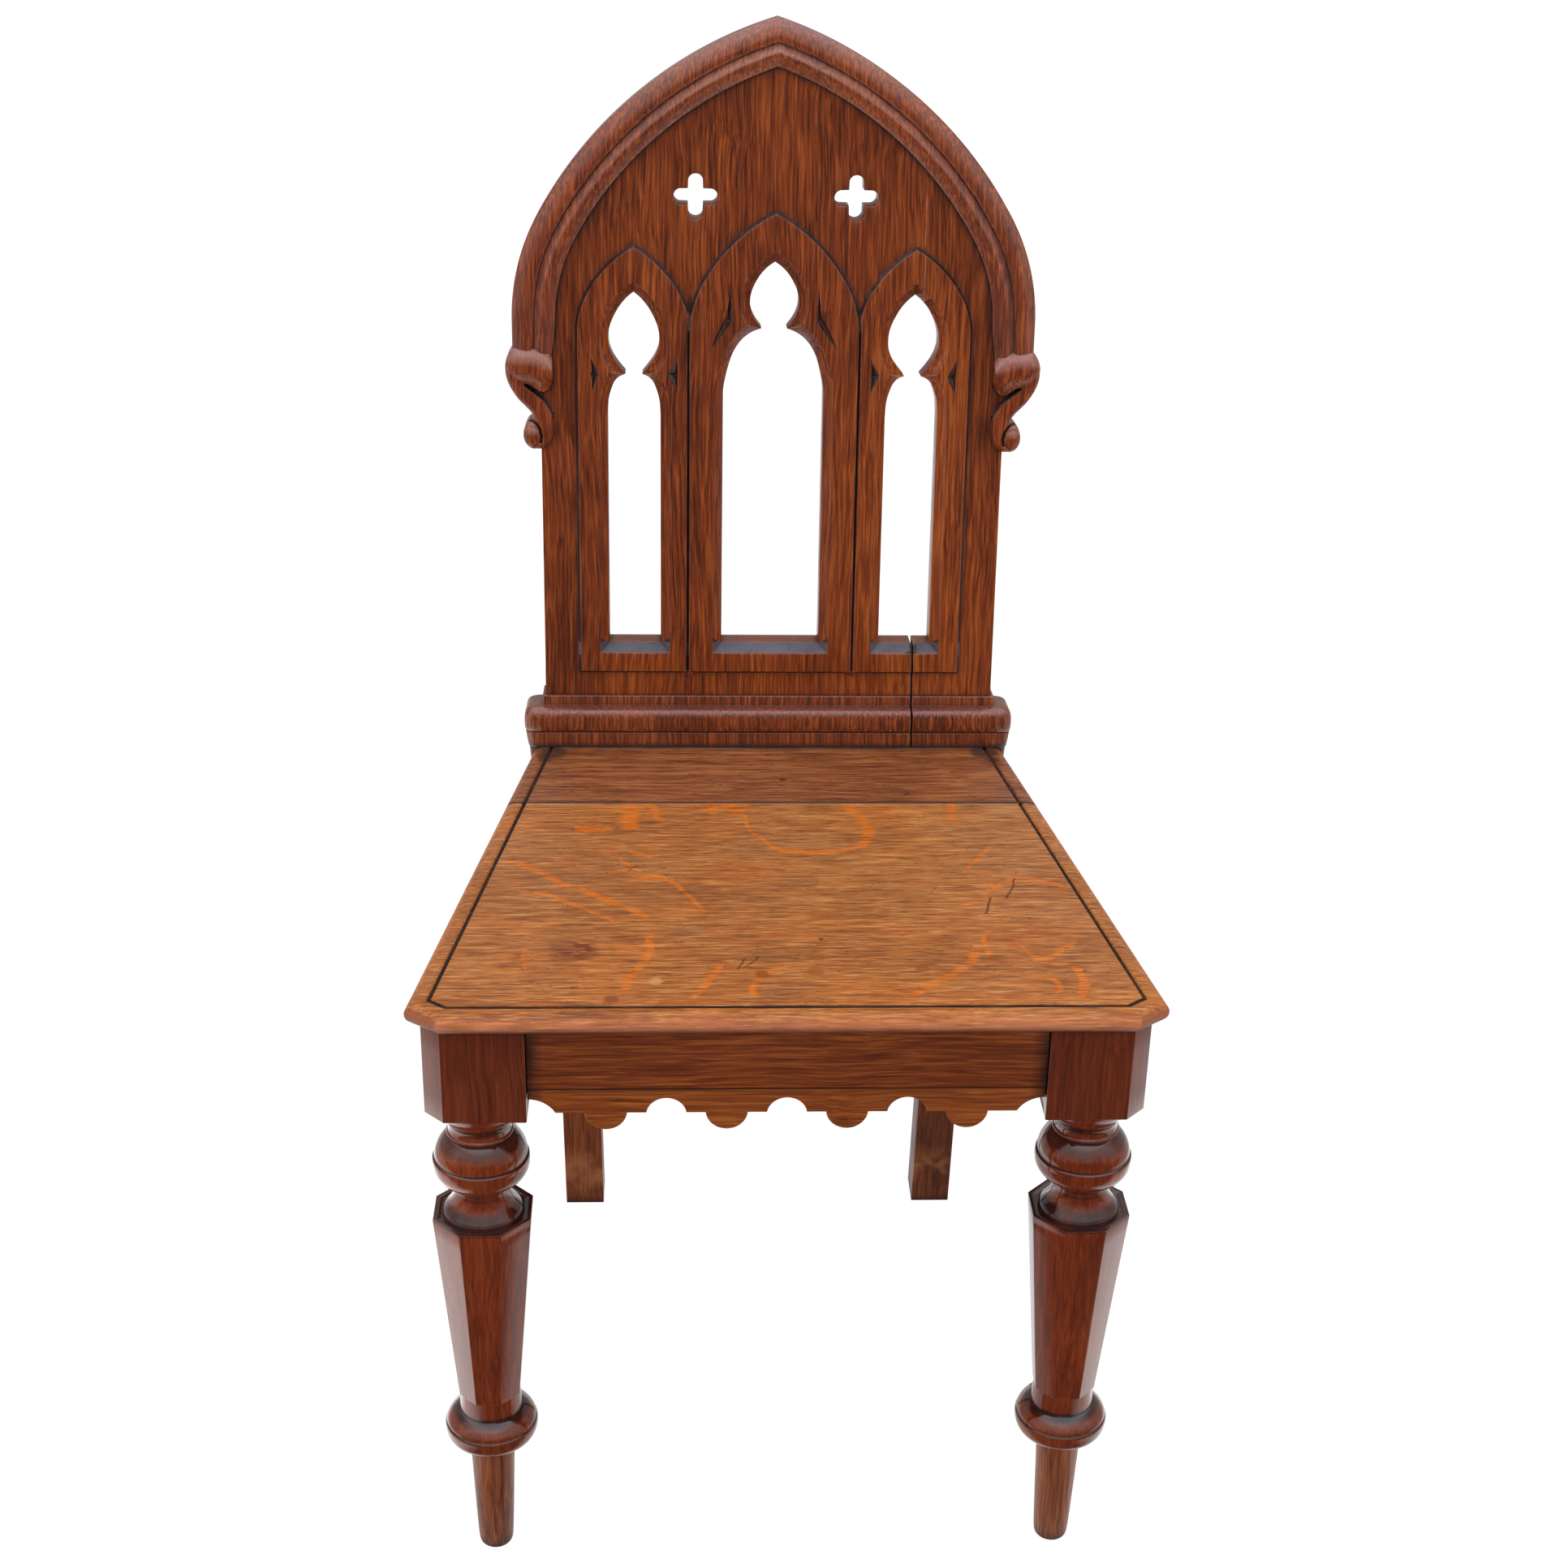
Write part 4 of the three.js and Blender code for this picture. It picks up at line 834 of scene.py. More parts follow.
def seat_board(front, rear):
    """One board of the seat, with the faces that take the dark oak of the border line and the seam: dirt
    and painted shade.
    """
    whole_front = front < CORNER[1]
    rings = []
    for inset, level in SEAT_LEVELS:
        right = seat_half(inset, front, rear)
        left = (right[1:] if whole_front else right)[::-1] * np.array([-1, 1, 1])
        ring = np.concatenate([left, right])
        eased = level - ring[:, 2] * (level > 418)
        rings.append(np.column_stack([ring[:, :2], eased]))
    count, middle = len(rings[0]), len(left)
    faces, painted = [], []
    for level in range(len(rings) - 1):
        low = level * count
        for i in range(count - 1):
            if i == middle - 1 and not whole_front:
                continue
            if GROOVE_RINGS[0] <= level < GROOVE_RINGS[1]:
                painted.append(len(faces))
            faces.append((low + i, low + i + 1, low + count + i + 1, low + count + i))
    top = (len(rings) - 1) * count
    for a in range(middle + whole_front, count - 1):
        b, c, d = a + 1, count - 2 - a, count - 1 - a
        faces += [(top + a, top + b, top + c, top + d), (d, c, b, a)]
    if whole_front:
        faces += [(top + middle, top + middle + 1, top + middle - 1), (middle - 1, middle + 1, middle)]
    first, inner_left, inner_right, last = (
        tuple(range(i, len(rings) * count, count)) for i in (0, middle - 1, middle, count - 1))
    painted.append(len(faces))
    faces.append(last + first[::-1])
    if not whole_front:
        faces.append(inner_left + inner_right[::-1])
    return np.concatenate(rings), faces, painted


for name, front, rear, oak_used in (("seat_front", 0, SEAM - SEAM_GAP / 2, seat_oak),
                                    ("seat_rear", SEAM + SEAM_GAP / 2, SEAT_DEPTH, rear_seat_oak)):
    points, faces, painted = seat_board(front, rear)
    add_piece(name, points, faces, oak_used, f"{name}_board", "seat_wood", sharp=33, second=groove_dirt_and_shade,
              painted=painted)

# Back board: outlines in the raked plane (across, up), with what they carry as a height

LANCET_FOOT = 17.7
WALL = 1.8
SPRINGING = 254.2
SILL = 37.5
MIDDLE = {"half": 57.0, "head": 80.5, "radius": 70.6}
SIDE = {"half": 37.8, "head": 57.7, "radius": 55.5}
SIDE_CENTRE = MIDDLE["half"] + SIDE["half"]
GROOVE_HALF = 0.85
GROOVE_FLOOR = 0.9
QUATREFOILS = [(-53.4, 345.1), (53.4, 345.1)]
QUATREFOIL_REACH = 14.6
QUATREFOIL_LOBE = 5.0
CLOSED_JOINT = (270, 399)
GRID = 7.0

MIDDLE_SHOULDER = [(34.2, 215.0), (33.6, 220.5), (31.5, 230.0), (28.6, 239.4), (24.6, 246.9), (20.0, 252.1),
                   (14.4, 255.9), (8.6, 258.1)]
MIDDLE_LOBE = [(8.6, 258.1), (11.8, 262.2), (14.7, 267.5), (16.35, 273.6), (16.1, 280.0), (14.0, 286.3),
               (9.9, 293.5), (5.1, 298.8), (0.0, 302.5)]
SIDE_SHOULDER = [(18.0, 198.7), (17.55, 206.5), (16.6, 211.9), (14.9, 217.2), (13.0, 221.4), (9.9, 224.6),
                 (5.7, 226.5)]
SIDE_LOBE = [(5.7, 226.5), (9.5, 231.1), (13.7, 237.2), (16.6, 244.3), (17.2, 250.5), (16.6, 256.5),
             (14.4, 263.1), (9.9, 271.4), (4.9, 277.5), (0.0, 281.7)]


def arch_circles(half, head, radius):
    """The lower and the upper circle, each as (x, height, radius), of one side of a pointed arch."""
    reach = half - radius
    cos_turn, sin_turn = math.cos(ARCH_TURN), math.sin(ARCH_TURN)
    numerator = reach ** 2 + head ** 2 - radius ** 2
    extra = numerator / (2 * (radius + reach * cos_turn - head * sin_turn))
    return (reach, 0.0, radius), (reach - extra * cos_turn, -extra * sin_turn, radius + extra)


def arch_side(circles, inset, steps, springing):
    """Right side of a pointed arch from the springing to the apex, moved inwards by the inset."""
    lower, upper = circles
    apex = math.acos(-upper[0] / (upper[2] - inset))
    points = []
    for (x, height, radius), start, end, first in ((lower, 0.0, ARCH_TURN, 0), (upper, ARCH_TURN, apex, 1)):
        angles = [start + (end - start) * i / steps for i in range(first, steps + 1)]
        reach = radius - inset
        points += [(x + reach * math.cos(a), height + reach * math.sin(a)) for a in angles]
    return np.array(points) + np.array([0, springing])


def left_normals(run):
    """Unit normals on the left of the way that a run goes."""
    tangent = np.gradient(run, axis=0)
    tangent[0] = run[1] - run[0]
    tangent[-1] = run[-1] - run[-2]
    tangent /= np.linalg.norm(tangent, axis=1)[:, None]
    return np.column_stack([-tangent[:, 1], tangent[:, 0]])


def crossing(a, b, c, d):
    """Shares along ab and cd at which the two lines meet."""
    r, s = b - a, d - c
    across = r[0] * s[1] - r[1] * s[0]
    if abs(across) < 1e-9:
        return None
    gap = c - a
    return (gap[0] * s[1] - gap[1] * s[0]) / across, (gap[0] * r[1] - gap[1] * r[0]) / across


def joined_runs(first, second):
    """Where two offset runs meet: trimmed at their crossing, or stretched to it."""
    for i in range(len(first) - 2, -1, -1):
        for j in range(len(second) - 1):
            hit = crossing(first[i], first[i + 1], second[j], second[j + 1])
            if hit and 0 <= hit[0] <= 1 and 0 <= hit[1] <= 1:
                point = first[i] + (first[i + 1] - first[i]) * hit[0]
                return np.vstack([first[:i + 1], point]), np.vstack([point, second[j + 1:]])
    hit = crossing(first[-2], first[-1], second[0], second[1])
    point = first[-1] if hit is None else first[-2] + (first[-1] - first[-2]) * hit[0]
    return np.vstack([first[:-1], point]), np.vstack([point, second[1:]])


def offset_runs(runs, distance):
    """A closed loop of smooth runs, moved to the right of its way, with its corners kept sharp."""
    moved = [run - left_normals(run) * distance for run in runs]
    if abs(distance) < 1e-9:
        return moved
    for i in range(len(moved)):
        j = (i + 1) % len(moved)
        moved[i], moved[j] = joined_runs(moved[i], moved[j])
    return moved


def mirrored_loop(right_runs, centre=0.0):
    """Runs up the right side, from the foot's middle to the apex, closed with their mirror image."""
    left_runs = [run[::-1] * MIRROR for run in reversed(right_runs)]
    first = np.concatenate([left_runs[-1], right_runs[0][1:]])
    runs = [first] + right_runs[1:] + left_runs[:-1]
    return [run + np.array([centre, 0]) for run in runs]


def opening_runs(centre, shoulder, lobe):
    corner = (shoulder[0][0], SILL)
    jamb = np.concatenate([[corner], smooth_run(shoulder)])
    return mirrored_loop([resampled([(0, SILL), corner]), resampled(jamb), smooth_run(lobe)], centre)


def jamb_and_arch(edge, side):
    """Straight up one edge from the lancet's foot, and on along the side of its arch."""
    return np.concatenate([resampled([(edge, LANCET_FOOT), (edge, SPRINGING)]), side[1:]])


def middle_lancet_runs():
    side = arch_side(arch_circles(**MIDDLE), 0, 12, SPRINGING)
    foot = resampled([(0, LANCET_FOOT), (MIDDLE["half"], LANCET_FOOT)])
    return mirrored_loop([foot, jamb_and_arch(MIDDLE["half"], side)])


def side_lancet_runs(sign):
    """A side lancet: its inner arc stops at the middle lancet's edge and follows it down."""
    arc = arch_side(arch_circles(**SIDE), 0, 12, SPRINGING)
    centre = np.array([SIDE_CENTRE, 0])
    neighbour = arch_side(arch_circles(**MIDDLE), -2 * GROOVE_HALF, 12, SPRINGING)
    edge = neighbour[0][0]
    down = np.concatenate([neighbour[::-1], resampled([(edge, SPRINGING), (edge, LANCET_FOOT)])[1:]])
    inner, down = joined_runs(arc[::-1] * MIRROR + centre, down)
    outside = SIDE_CENTRE + SIDE["half"]
    foot = resampled([(down[-1][0], LANCET_FOOT), (outside, LANCET_FOOT)])
    runs = [foot, jamb_and_arch(outside, arc + centre), inner, down]
    if sign < 0:
        runs = [run[::-1] * MIRROR for run in reversed(runs)]
    return runs


def quatrefoil_runs(centre):
    lobe = QUATREFOIL_LOBE
    angles = [-math.pi / 2 + math.pi * k / 12 for k in range(1, 12)]
    round_end = [(QUATREFOIL_REACH - lobe + lobe * math.cos(a), lobe * math.sin(a)) for a in angles]
    run = np.array([(lobe, -lobe)] + round_end + [(lobe, lobe)])
    runs = []
    for turn in range(4):
        angle = turn * math.pi / 2
        spin = np.array([[math.cos(angle), -math.sin(angle)], [math.sin(angle), math.cos(angle)]])
        runs.append(run @ spin.T + np.array(centre))
    return runs


def inside(points, loop):
    """Which points lie within a closed loop."""
    x, y = points[:, 0], points[:, 1]
    result = np.zeros(len(points), dtype=bool)
    for (x0, y0), (x1, y1) in zip(loop, np.roll(loop, -1, axis=0)):
        crosses = (y0 > y) != (y1 > y)
        with np.errstate(divide="ignore", invalid="ignore"):
            result ^= crosses & (x < (x1 - x0) * (y - y0) / (y1 - y0) + x0)
    return result


def distance_to(points, line, closed=True):
    """Distance from each point to the nearest place on a line, or on a closed loop."""
    best = np.full(len(points), np.inf)
    ends = np.roll(line, -1, axis=0) if closed else line[1:]
    for a, b in zip(line, ends):
        way = b - a
        share = np.clip(((points - a) @ way) / max(way @ way, 1e-12), 0, 1)
        best = np.minimum(best, np.linalg.norm(points - (a + share[:, None] * way), axis=1))
    return best


def one_loop(runs):
    """The runs of a closed loop as one list of places."""
    return np.concatenate([run[:-1] for run in runs])


def grid_within(outline, across, up):
    """Places of a square grid that lie within an outline."""
    grid = np.column_stack([values.ravel() for values in np.meshgrid(across, up)])
    return grid[inside(grid, outline)]


def facing_front(flat, triangles):
    """The same triangles, each in the order that makes it face the front."""
    corners = flat[triangles]
    turned = np.cross(corners[:, 1] - corners[:, 0], corners[:, 2] - corners[:, 0]) < 0
    triangles[turned] = triangles[turned][:, ::-1]
    return triangles


class Relief:
    """A flat drawing whose lines carry heights, triangulated into a carved face."""

    def __init__(self):
        self.points = []
        self.heights = []
        self.edges = []

    def spots(self, points, height):
        self.points += [tuple(p) for p in points]
        self.heights += list(np.broadcast_to(np.array(height, dtype=float), (len(points),)))

    def line(self, run, height, closed=False):
        start = len(self.points)
        self.spots(np.array(run, dtype=float), height)
        self.edges += [(i, i + 1) for i in range(start, len(self.points) - 1)]
        if closed:
            self.edges.append((len(self.points) - 1, start))

    def loop(self, runs, height):
        merged = one_loop(runs)
        self.line(merged, height, closed=True)
        return merged

    def triangles(self):
        verts = [Vector(p) for p in self.points]
        out, _, faces, originals, *_ = delaunay_2d_cdt(verts, self.edges, [], 0, 1e-4)
        heights = np.full(len(out), np.nan)
        for i, sources in enumerate(originals):
            if sources:
                heights[i] = max(self.heights[s] for s in sources)
        return np.array([tuple(p) for p in out]), heights, np.array(faces)


def slab(flat, heights, triangles, back):
    """Closed body: the carved face in front, a plain face behind and walls round every edge."""
    used = np.unique(triangles)
    remap = {int(v): i for i, v in enumerate(used)}
    local = [tuple(remap[int(v)] for v in t) for t in triangles]
    count = len(used)
    front = np.column_stack([flat[used, 0], heights[used], flat[used, 1]])
    rear = np.column_stack([flat[used, 0], np.full(count, back), flat[used, 1]])
    sides = {}
    for a, b, c in local:
        for edge in ((a, b), (b, c), (c, a)):
            sides[edge] = True
    rim = [edge for edge in sides if (edge[1], edge[0]) not in sides]
    faces = list(local) + [(c + count, b + count, a + count) for a, b, c in local]
    faces += [(b, a, a + count, b + count) for a, b in rim]
    return np.concatenate([front, rear]), faces


OPENINGS = [opening_runs(0, MIDDLE_SHOULDER, MIDDLE_LOBE)]
OPENINGS += [opening_runs(sign * SIDE_CENTRE, SIDE_SHOULDER, SIDE_LOBE) for sign in (-1, 1)]
LANCETS = [middle_lancet_runs()] + [side_lancet_runs(sign) for sign in (-1, 1)]
ARCH = arch_circles(ARCH_HALF, BACK_HEIGHT - ARCH_SPRINGING, ARCH_RADIUS)

# Chip-carved darts: three tips, the bowed side between the last and the first, and the pit with its depth
DARTS = [
    ((29.3, 287.4), (28.6, 263.6), (43.4, 243.6),
     [(42.6, 252.0), (40.4, 262.0), (37.4, 272.0), (33.2, 281.0)], (31.6, 265.4, 3.1)),
    ((123.9, 239.0), (118.0, 227.0), (123.4, 214.6), [(124.3, 221.0), (124.6, 227.5), (124.4, 233.5)],
     (122.4, 226.8, 2.8)),
    ((65.4, 214.4), (71.6, 227.6), (65.6, 239.0), [(65.0, 233.5), (64.7, 227.5), (64.9, 221.0)],
     (67.0, 227.3, 2.8)),
]


def board_outline():
    """The back's outline, from the right stile's foot over the arch to the left one's."""
    stile = resampled([(STILE_HALF, BOARD_FOOT), (STILE_HALF, STILE_TOP)], 6.0)
    right = np.concatenate([stile, [(ARCH_HALF, ARCH_FOOT)], arch_side(ARCH, 0, 40, ARCH_SPRINGING)])
    return np.concatenate([right, right[:-1][::-1] * MIRROR])


def crack_at(level, sign):
    """How far across one edge of the open joint runs at a level."""
    wander = 0.15 * math.sin(level * 0.11) + 0.09 * math.sin(level * 0.37 + 1.0)
    width = 0.84 + 0.10 * math.sin(level * 0.05 + sign)
    return JOINT + 0.4 + (SILL - level) * 0.012 + wander + sign * width


def crack(sign):
    """One edge of the open joint, from the seat up to the right opening's sill."""
    levels = np.linspace(BOARD_FOOT, SILL, 40)
    return np.column_stack([[crack_at(level, sign) for level in levels], levels])


def draw_openings(relief):
    """The three openings with their chamfers, and the mitres at the chamfers' corners."""
    loops = []
    for runs in OPENINGS:
        loops.append(relief.loop(runs, LANCET_RISE - CHAMFER - 0.5))
        corners = []
        for distance, drop in ((0.35, 0.15 - CHAMFER), (CHAMFER - 0.4, -0.62), (CHAMFER, -0.2),
                               (CHAMFER + 0.6, 0.0)):
            moved = offset_runs(runs, distance)
            relief.loop(moved, LANCET_RISE + drop)
            corners.append([run[0] for run in moved])
        for trail in zip(*corners[:2]):
            relief.line(trail, (LANCET_RISE - CHAMFER + 0.15, LANCET_RISE - 0.62))
    return loops


def draw_lancets(relief):
    """The raised lancets: their eased edges, the feet of their walls and the grooves between them."""
    lancets = []
    for runs in LANCETS:
        lancets.append(relief.loop(runs, LANCET_RISE - 0.45))
        for distance, drop in ((-0.35, 0.12), (-0.9, 0.0)):
            relief.loop(offset_runs(runs, distance), LANCET_RISE - drop)
    for index, runs in enumerate(LANCETS):
        loop = one_loop(offset_runs(runs, WALL))
        free = np.ones(len(loop), dtype=bool)
        for other in lancets[:index] + lancets[index + 1:]:
            free &= ~inside(loop, other) & (distance_to(loop, other) > WALL + 0.1)
        ends = np.flatnonzero(np.diff(np.concatenate([[0], free.astype(int), [0]])))
        for start, end in zip(ends[::2], ends[1::2]):
            relief.line(loop[start:end], 0.0)
    levels = np.linspace(LANCET_FOOT + 1.2, SPRINGING, 60)
    for sign in (-1, 1):
        across = np.full(60, sign * (MIDDLE["half"] + GROOVE_HALF))
        relief.line(np.column_stack([across, levels]), GROOVE_FLOOR)
    return lancets


def draw_quatrefoils(relief):
    loops = []
    for centre in QUATREFOILS:
        runs = quatrefoil_runs(centre)
        loops.append(relief.loop(runs, -1.5))
        for distance, height in ((0.35, -0.75), (0.9, -0.25), (1.6, 0.0)):
            relief.loop(offset_runs(runs, distance), height)
    return loops


def draw_darts(relief):
    for tip_a, tip_b, tip_c, bows, (x, height, deep) in DARTS:
        for sign in (-1, 1):
            ring = np.array([tip_a, tip_b, tip_c] + bows) * np.array([sign, 1])
            first = len(relief.points)
            relief.line(ring, LANCET_RISE, closed=True)
            pit = len(relief.points)
            relief.spots([(sign * x, height)], LANCET_RISE - deep)
            relief.edges += [(pit, first), (pit, first + 1), (pit, first + 2)]


def back_board():
    """The two boards of the back, each with its points, its faces and the list of its faces that take the
    darker oak: dirt and painted shade on the walls, sill chamfers and darts.
    """
    relief = Relief()
    outline = board_outline()
    relief.line(outline, 0.0, closed=True)
    openings = draw_openings(relief)
    lancets = draw_lancets(relief)
    openings += draw_quatrefoils(relief)
    draw_darts(relief)
    left_edge, right_edge = crack(-1), crack(1)
    closed_joint = np.column_stack([np.full(60, JOINT), np.linspace(*CLOSED_JOINT, 60)])
    for line in (left_edge, right_edge, closed_joint):
        relief.line(line, np.nan)
    grid = grid_within(outline, np.arange(-172, 173, GRID), np.arange(BOARD_FOOT + 4, 455, GRID))
    clear = np.ones(len(grid), dtype=bool)
    for runs in OPENINGS:
        clear &= ~inside(grid, one_loop(offset_runs(runs, CHAMFER + 2.5)))
    for centre, height in QUATREFOILS:
        clear &= np.hypot(grid[:, 0] - centre, grid[:, 1] - height) > QUATREFOIL_REACH + 3.4
    relief.spots(grid[clear], np.nan)

    flat, heights, triangles = relief.triangles()
    unset = np.isnan(heights)
    raised = np.any([inside(flat, loop) for loop in lancets], axis=0)
    nearest = np.min([distance_to(flat, loop) for loop in lancets], axis=0)
    heights[unset & raised] = LANCET_RISE
    slope = unset & ~raised
    heights[slope] = LANCET_RISE * np.clip(1 - nearest[slope] / WALL, 0, 1)

    centres = flat[triangles].mean(axis=1)
    across, up = centres.T
    wood = inside(centres, outline)
    for loop in openings:
        wood &= ~inside(centres, loop)
    edge_left, edge_right = (np.interp(up, edge[:, 1], edge[:, 0]) for edge in (left_edge, right_edge))
    low = up < SILL
    wood &= ~(low & (across > edge_left) & (across < edge_right))
    on_right = np.where(low, across > (edge_left + edge_right) / 2, across > JOINT)
    triangles = facing_front(flat, triangles)

    # The lancet walls, the sill chamfers and the darts' inner facets take the darker oak: dirt and painted
    # shade.
    outside = ~np.any([inside(centres, loop) for loop in lancets], axis=0)
    beside = np.min([distance_to(centres, loop) for loop in lancets], axis=0)
    steep = np.ptp(heights[triangles], axis=1) > 0.6
    dirt_and_shade_faces = outside & (beside < WALL)
    dirt_and_shade_faces |= (up > SILL - CHAMFER - 0.2) & (up < SILL + 0.5) & steep & ~outside
    for tip_a, tip_b, tip_c, _, pit in DARTS:
        for sign in (-1, 1):
            dirt_and_shade_faces |= inside(centres, np.array([(sign * x, h) for x, h in (tip_a, tip_b, tip_c, pit[:2])]))
    boards = []
    for side in (~on_right, on_right):
        points, faces = slab(flat, heights, triangles[wood & side], -BOARD_THICKNESS)
        boards.append((points, faces, np.flatnonzero(dirt_and_shade_faces[wood & side]).tolist()))
    return boards


for name, node, body in zip(("back_left", "back_right"), ("back_board", "back_board_right"), back_board()):
    points, faces, dirt_and_shade_faces = body
    add_piece(name, from_back(points), faces, back_oak, node, "back_wood", sharp=30, second=dirt_and_shade_oak,
              painted=dirt_and_shade_faces)

# Arch moulding: every line of its section is its own arch, so both halves mitre at the top

ARCH_SECTION = [
    [(0.0, 0.3), (0.0, 2.4)],
    [(0.15, 2.8), (0.7, 3.5), (2.0, 4.6), (4.0, 5.85), (6.0, 6.8), (8.0, 7.5), (10.0, 7.93),
     (11.4, 8.0), (12.6, 7.8), (13.6, 7.35), (14.3, 6.75)],
    [(14.7, 6.3), (15.3, 6.0), (16.0, 5.98), (16.9, 6.15), (17.9, 6.5), (18.9, 7.0), (19.9, 7.55),
     (20.7, 7.9), (21.4, 8.0), (22.2, 7.85), (23.2, 7.4), (25.0, 6.4), (27.0, 5.2), (28.6, 4.15)],
    [(29.0, 3.8), (29.3, 3.3), (29.4, 2.6), (29.4, 0.03)],
]

ARCH_FOOT_TAPER = 0.095


def arch_moulding():
    section = smooth_runs(ARCH_SECTION, 3)
    rings = []
    for inset, out in section:
        side = arch_side(ARCH, inset, 40, ARCH_SPRINGING)
        rise = ARCH_SPRINGING - ARCH_FOOT
        foot = [(side[0][0] + ARCH_FOOT_TAPER * inset * (1 - k / 6) ** 1.5, ARCH_FOOT + rise * k / 6)
                for k in range(6)]
        run = np.concatenate([foot, side])
        run[-1, 0] = 0.0
        rings.append(np.insert(run, 1, out, axis=1))
    count = len(rings[0])
    faces, dirt_and_shade_faces = [], []
    for level, (inset, _) in enumerate(section):
        low = level * count
        high = ((level + 1) % len(rings)) * count
        for i in range(count - 1):
            # The valley and the foot line of the section take the darker oak: dirt and painted shade in the
            # hollows.
            if 14.5 < inset < 15.4 or 28.8 < inset:
                dirt_and_shade_faces.append(len(faces))
            faces.append((low + i, high + i, high + i + 1, low + i + 1))
    total = len(rings) * count
    faces += [tuple(range(0, total, count))[::-1], tuple(range(count - 1, total, count))]
    return np.concatenate(rings), faces, dirt_and_shade_faces


points, faces, dirt_and_shade_faces = arch_moulding()
add_pair("arch", from_back(points), faces, arch_oak, "arch_moulding", "back_wood", sharp=42,
         second=dirt_and_shade_oak, painted=dirt_and_shade_faces)

# Scrolls: a domed bulb, an S-shaped stem and a small volute, carved in one relief

SCROLL_OUTLINE = [
    [(149.5, 236.5), (150.3, 240.8), (154.0, 243.6), (160.2, 245.4), (168.0, 246.0), (175.1, 245.1),
     (178.9, 241.0), (180.8, 235.2), (181.4, 229.2), (180.4, 223.0), (177.6, 216.6), (173.4, 210.2),
     (168.6, 205.1), (164.9, 201.2), (163.0, 197.9), (164.4, 196.4)],
    [(164.4, 196.4), (166.8, 194.9), (168.9, 191.2), (169.9, 186.4), (168.8, 181.3), (165.3, 177.3),
     (160.6, 175.8), (156.3, 176.3), (152.4, 179.2), (150.0, 183.7), (149.1, 189.2), (149.2, 196.6),
     (149.2, 203.0), (149.2, 210.0), (149.2, 217.0), (149.2, 223.0), (149.2, 229.0), (149.5, 236.5)],
]
WEDGE = np.array([
    (168.6, 219.9), (165.5, 217.4), (161.6, 214.4), (158.0, 211.3), (154.9, 208.0), (152.5, 204.5),
    (150.6, 201.0), (149.6, 197.0), (145.0, 197.0), (145.0, 223.0), (149.4, 223.0), (150.2, 220.6),
    (152.6, 217.2), (155.9, 215.6), (158.8, 216.4), (161.9, 218.6), (165.0, 220.4), (168.2, 221.3),
])
BULB_TOP = [(149.3, 237.5), (152.0, 241.3), (156.0, 244.3), (161.0, 246.0), (175.0, 246.0)]
BULB_FOOT = [(149.3, 223.0), (152.6, 217.2), (155.9, 215.6), (158.8, 216.4), (161.9, 218.6), (168.2, 220.4)]
BULB_END = (167.0, 14.6)
VOLUTE = ((163.2, 185.4), (6.9, 9.8))
VOLUTE_SEAM = np.array([(168.2, 195.4), (163.2, 195.7), (160.3, 193.4), (158.2, 189.6), (157.2, 185.2),
                        (158.0, 181.0)])
STEM_EDGE = 5.2
SCROLL_REAR = (0.05, -16.5)


def dome(distance, base, rise):
    return base + rise * np.sqrt(np.clip(1 - distance ** 2, 0, 1))


def scroll_height(points, outline):
    """Height of the carving: the rolled stem, the bulb and the volute on it, and the cuts between them."""
    across, up = points.T
    height = dome(1 - np.clip(distance_to(points, outline) / STEM_EDGE, 0, 1), 1.2, 6.6)
    top, foot = (np.interp(across, *zip(*line)) for line in (BULB_TOP, BULB_FOOT))
    end, reach = BULB_END
    bulb = np.hypot(np.maximum(across - end, 0) / reach, (up - (top + foot) / 2) / ((top - foot) / 2))
    (volute_x, volute_up), (half_width, half_height) = VOLUTE
    volute = np.hypot((across - volute_x) / half_width, (up - volute_up) / half_height)
    height = np.maximum(np.maximum(height, dome(bulb, 1.0, 11.6)), dome(volute, 1.0, 8.8))
    wall = 1.0 + 3.0 * np.clip(1 - distance_to(points, WEDGE) / 0.7, 0, 1)
    height = np.where(inside(points, WEDGE), np.minimum(height, wall), height)
    height -= 2.2 * np.exp(-(distance_to(points, VOLUTE_SEAM, closed=False) / 0.8) ** 2)
    return np.maximum(height, 0.9)


def scroll():
    """The scroll on the board and the part that stands past its edge, with the faces in its cuts that take
    the darker oak.
    """
    outline = np.concatenate([smooth_run(run)[:-1] for run in SCROLL_OUTLINE])
    relief = Relief()
    relief.line(outline, np.nan, closed=True)
    grid = grid_within(outline, np.arange(148.3, 182.5, 0.6), np.arange(175, 247, 0.6))
    relief.spots(grid[distance_to(grid, outline) > 0.35], np.nan)
    flat, _, triangles = relief.triangles()
    heights = scroll_height(flat, outline)
    triangles = facing_front(flat, triangles[inside(flat[triangles].mean(axis=1), outline)])
    middles = flat[triangles].mean(axis=1)
    beyond = middles[:, 0] > STILE_HALF + 0.5
    # The cuts under the bulb and round the volute take the darker oak: dirt and painted shade.
    dark = inside(middles, WEDGE) & (distance_to(middles, WEDGE) < 1.0)
    dark |= distance_to(middles, VOLUTE_SEAM, closed=False) < 0.7
    bodies, dirt_and_shade_faces, start = [], [], 0
    for chosen, rear in zip((~beyond, beyond), SCROLL_REAR):
        body = slab(flat, heights, triangles[chosen], rear)
        dirt_and_shade_faces += (np.flatnonzero(dark[chosen]) + start).tolist()
        start += len(body[1])
        bodies.append(body)
    return (*merge(bodies), dirt_and_shade_faces)


points, faces, dirt_and_shade_faces = scroll()
add_pair("scroll", from_back(points), faces, scroll_oak, "scroll", "back_wood", sharp=50,
         second=dirt_and_shade_oak, painted=dirt_and_shade_faces)

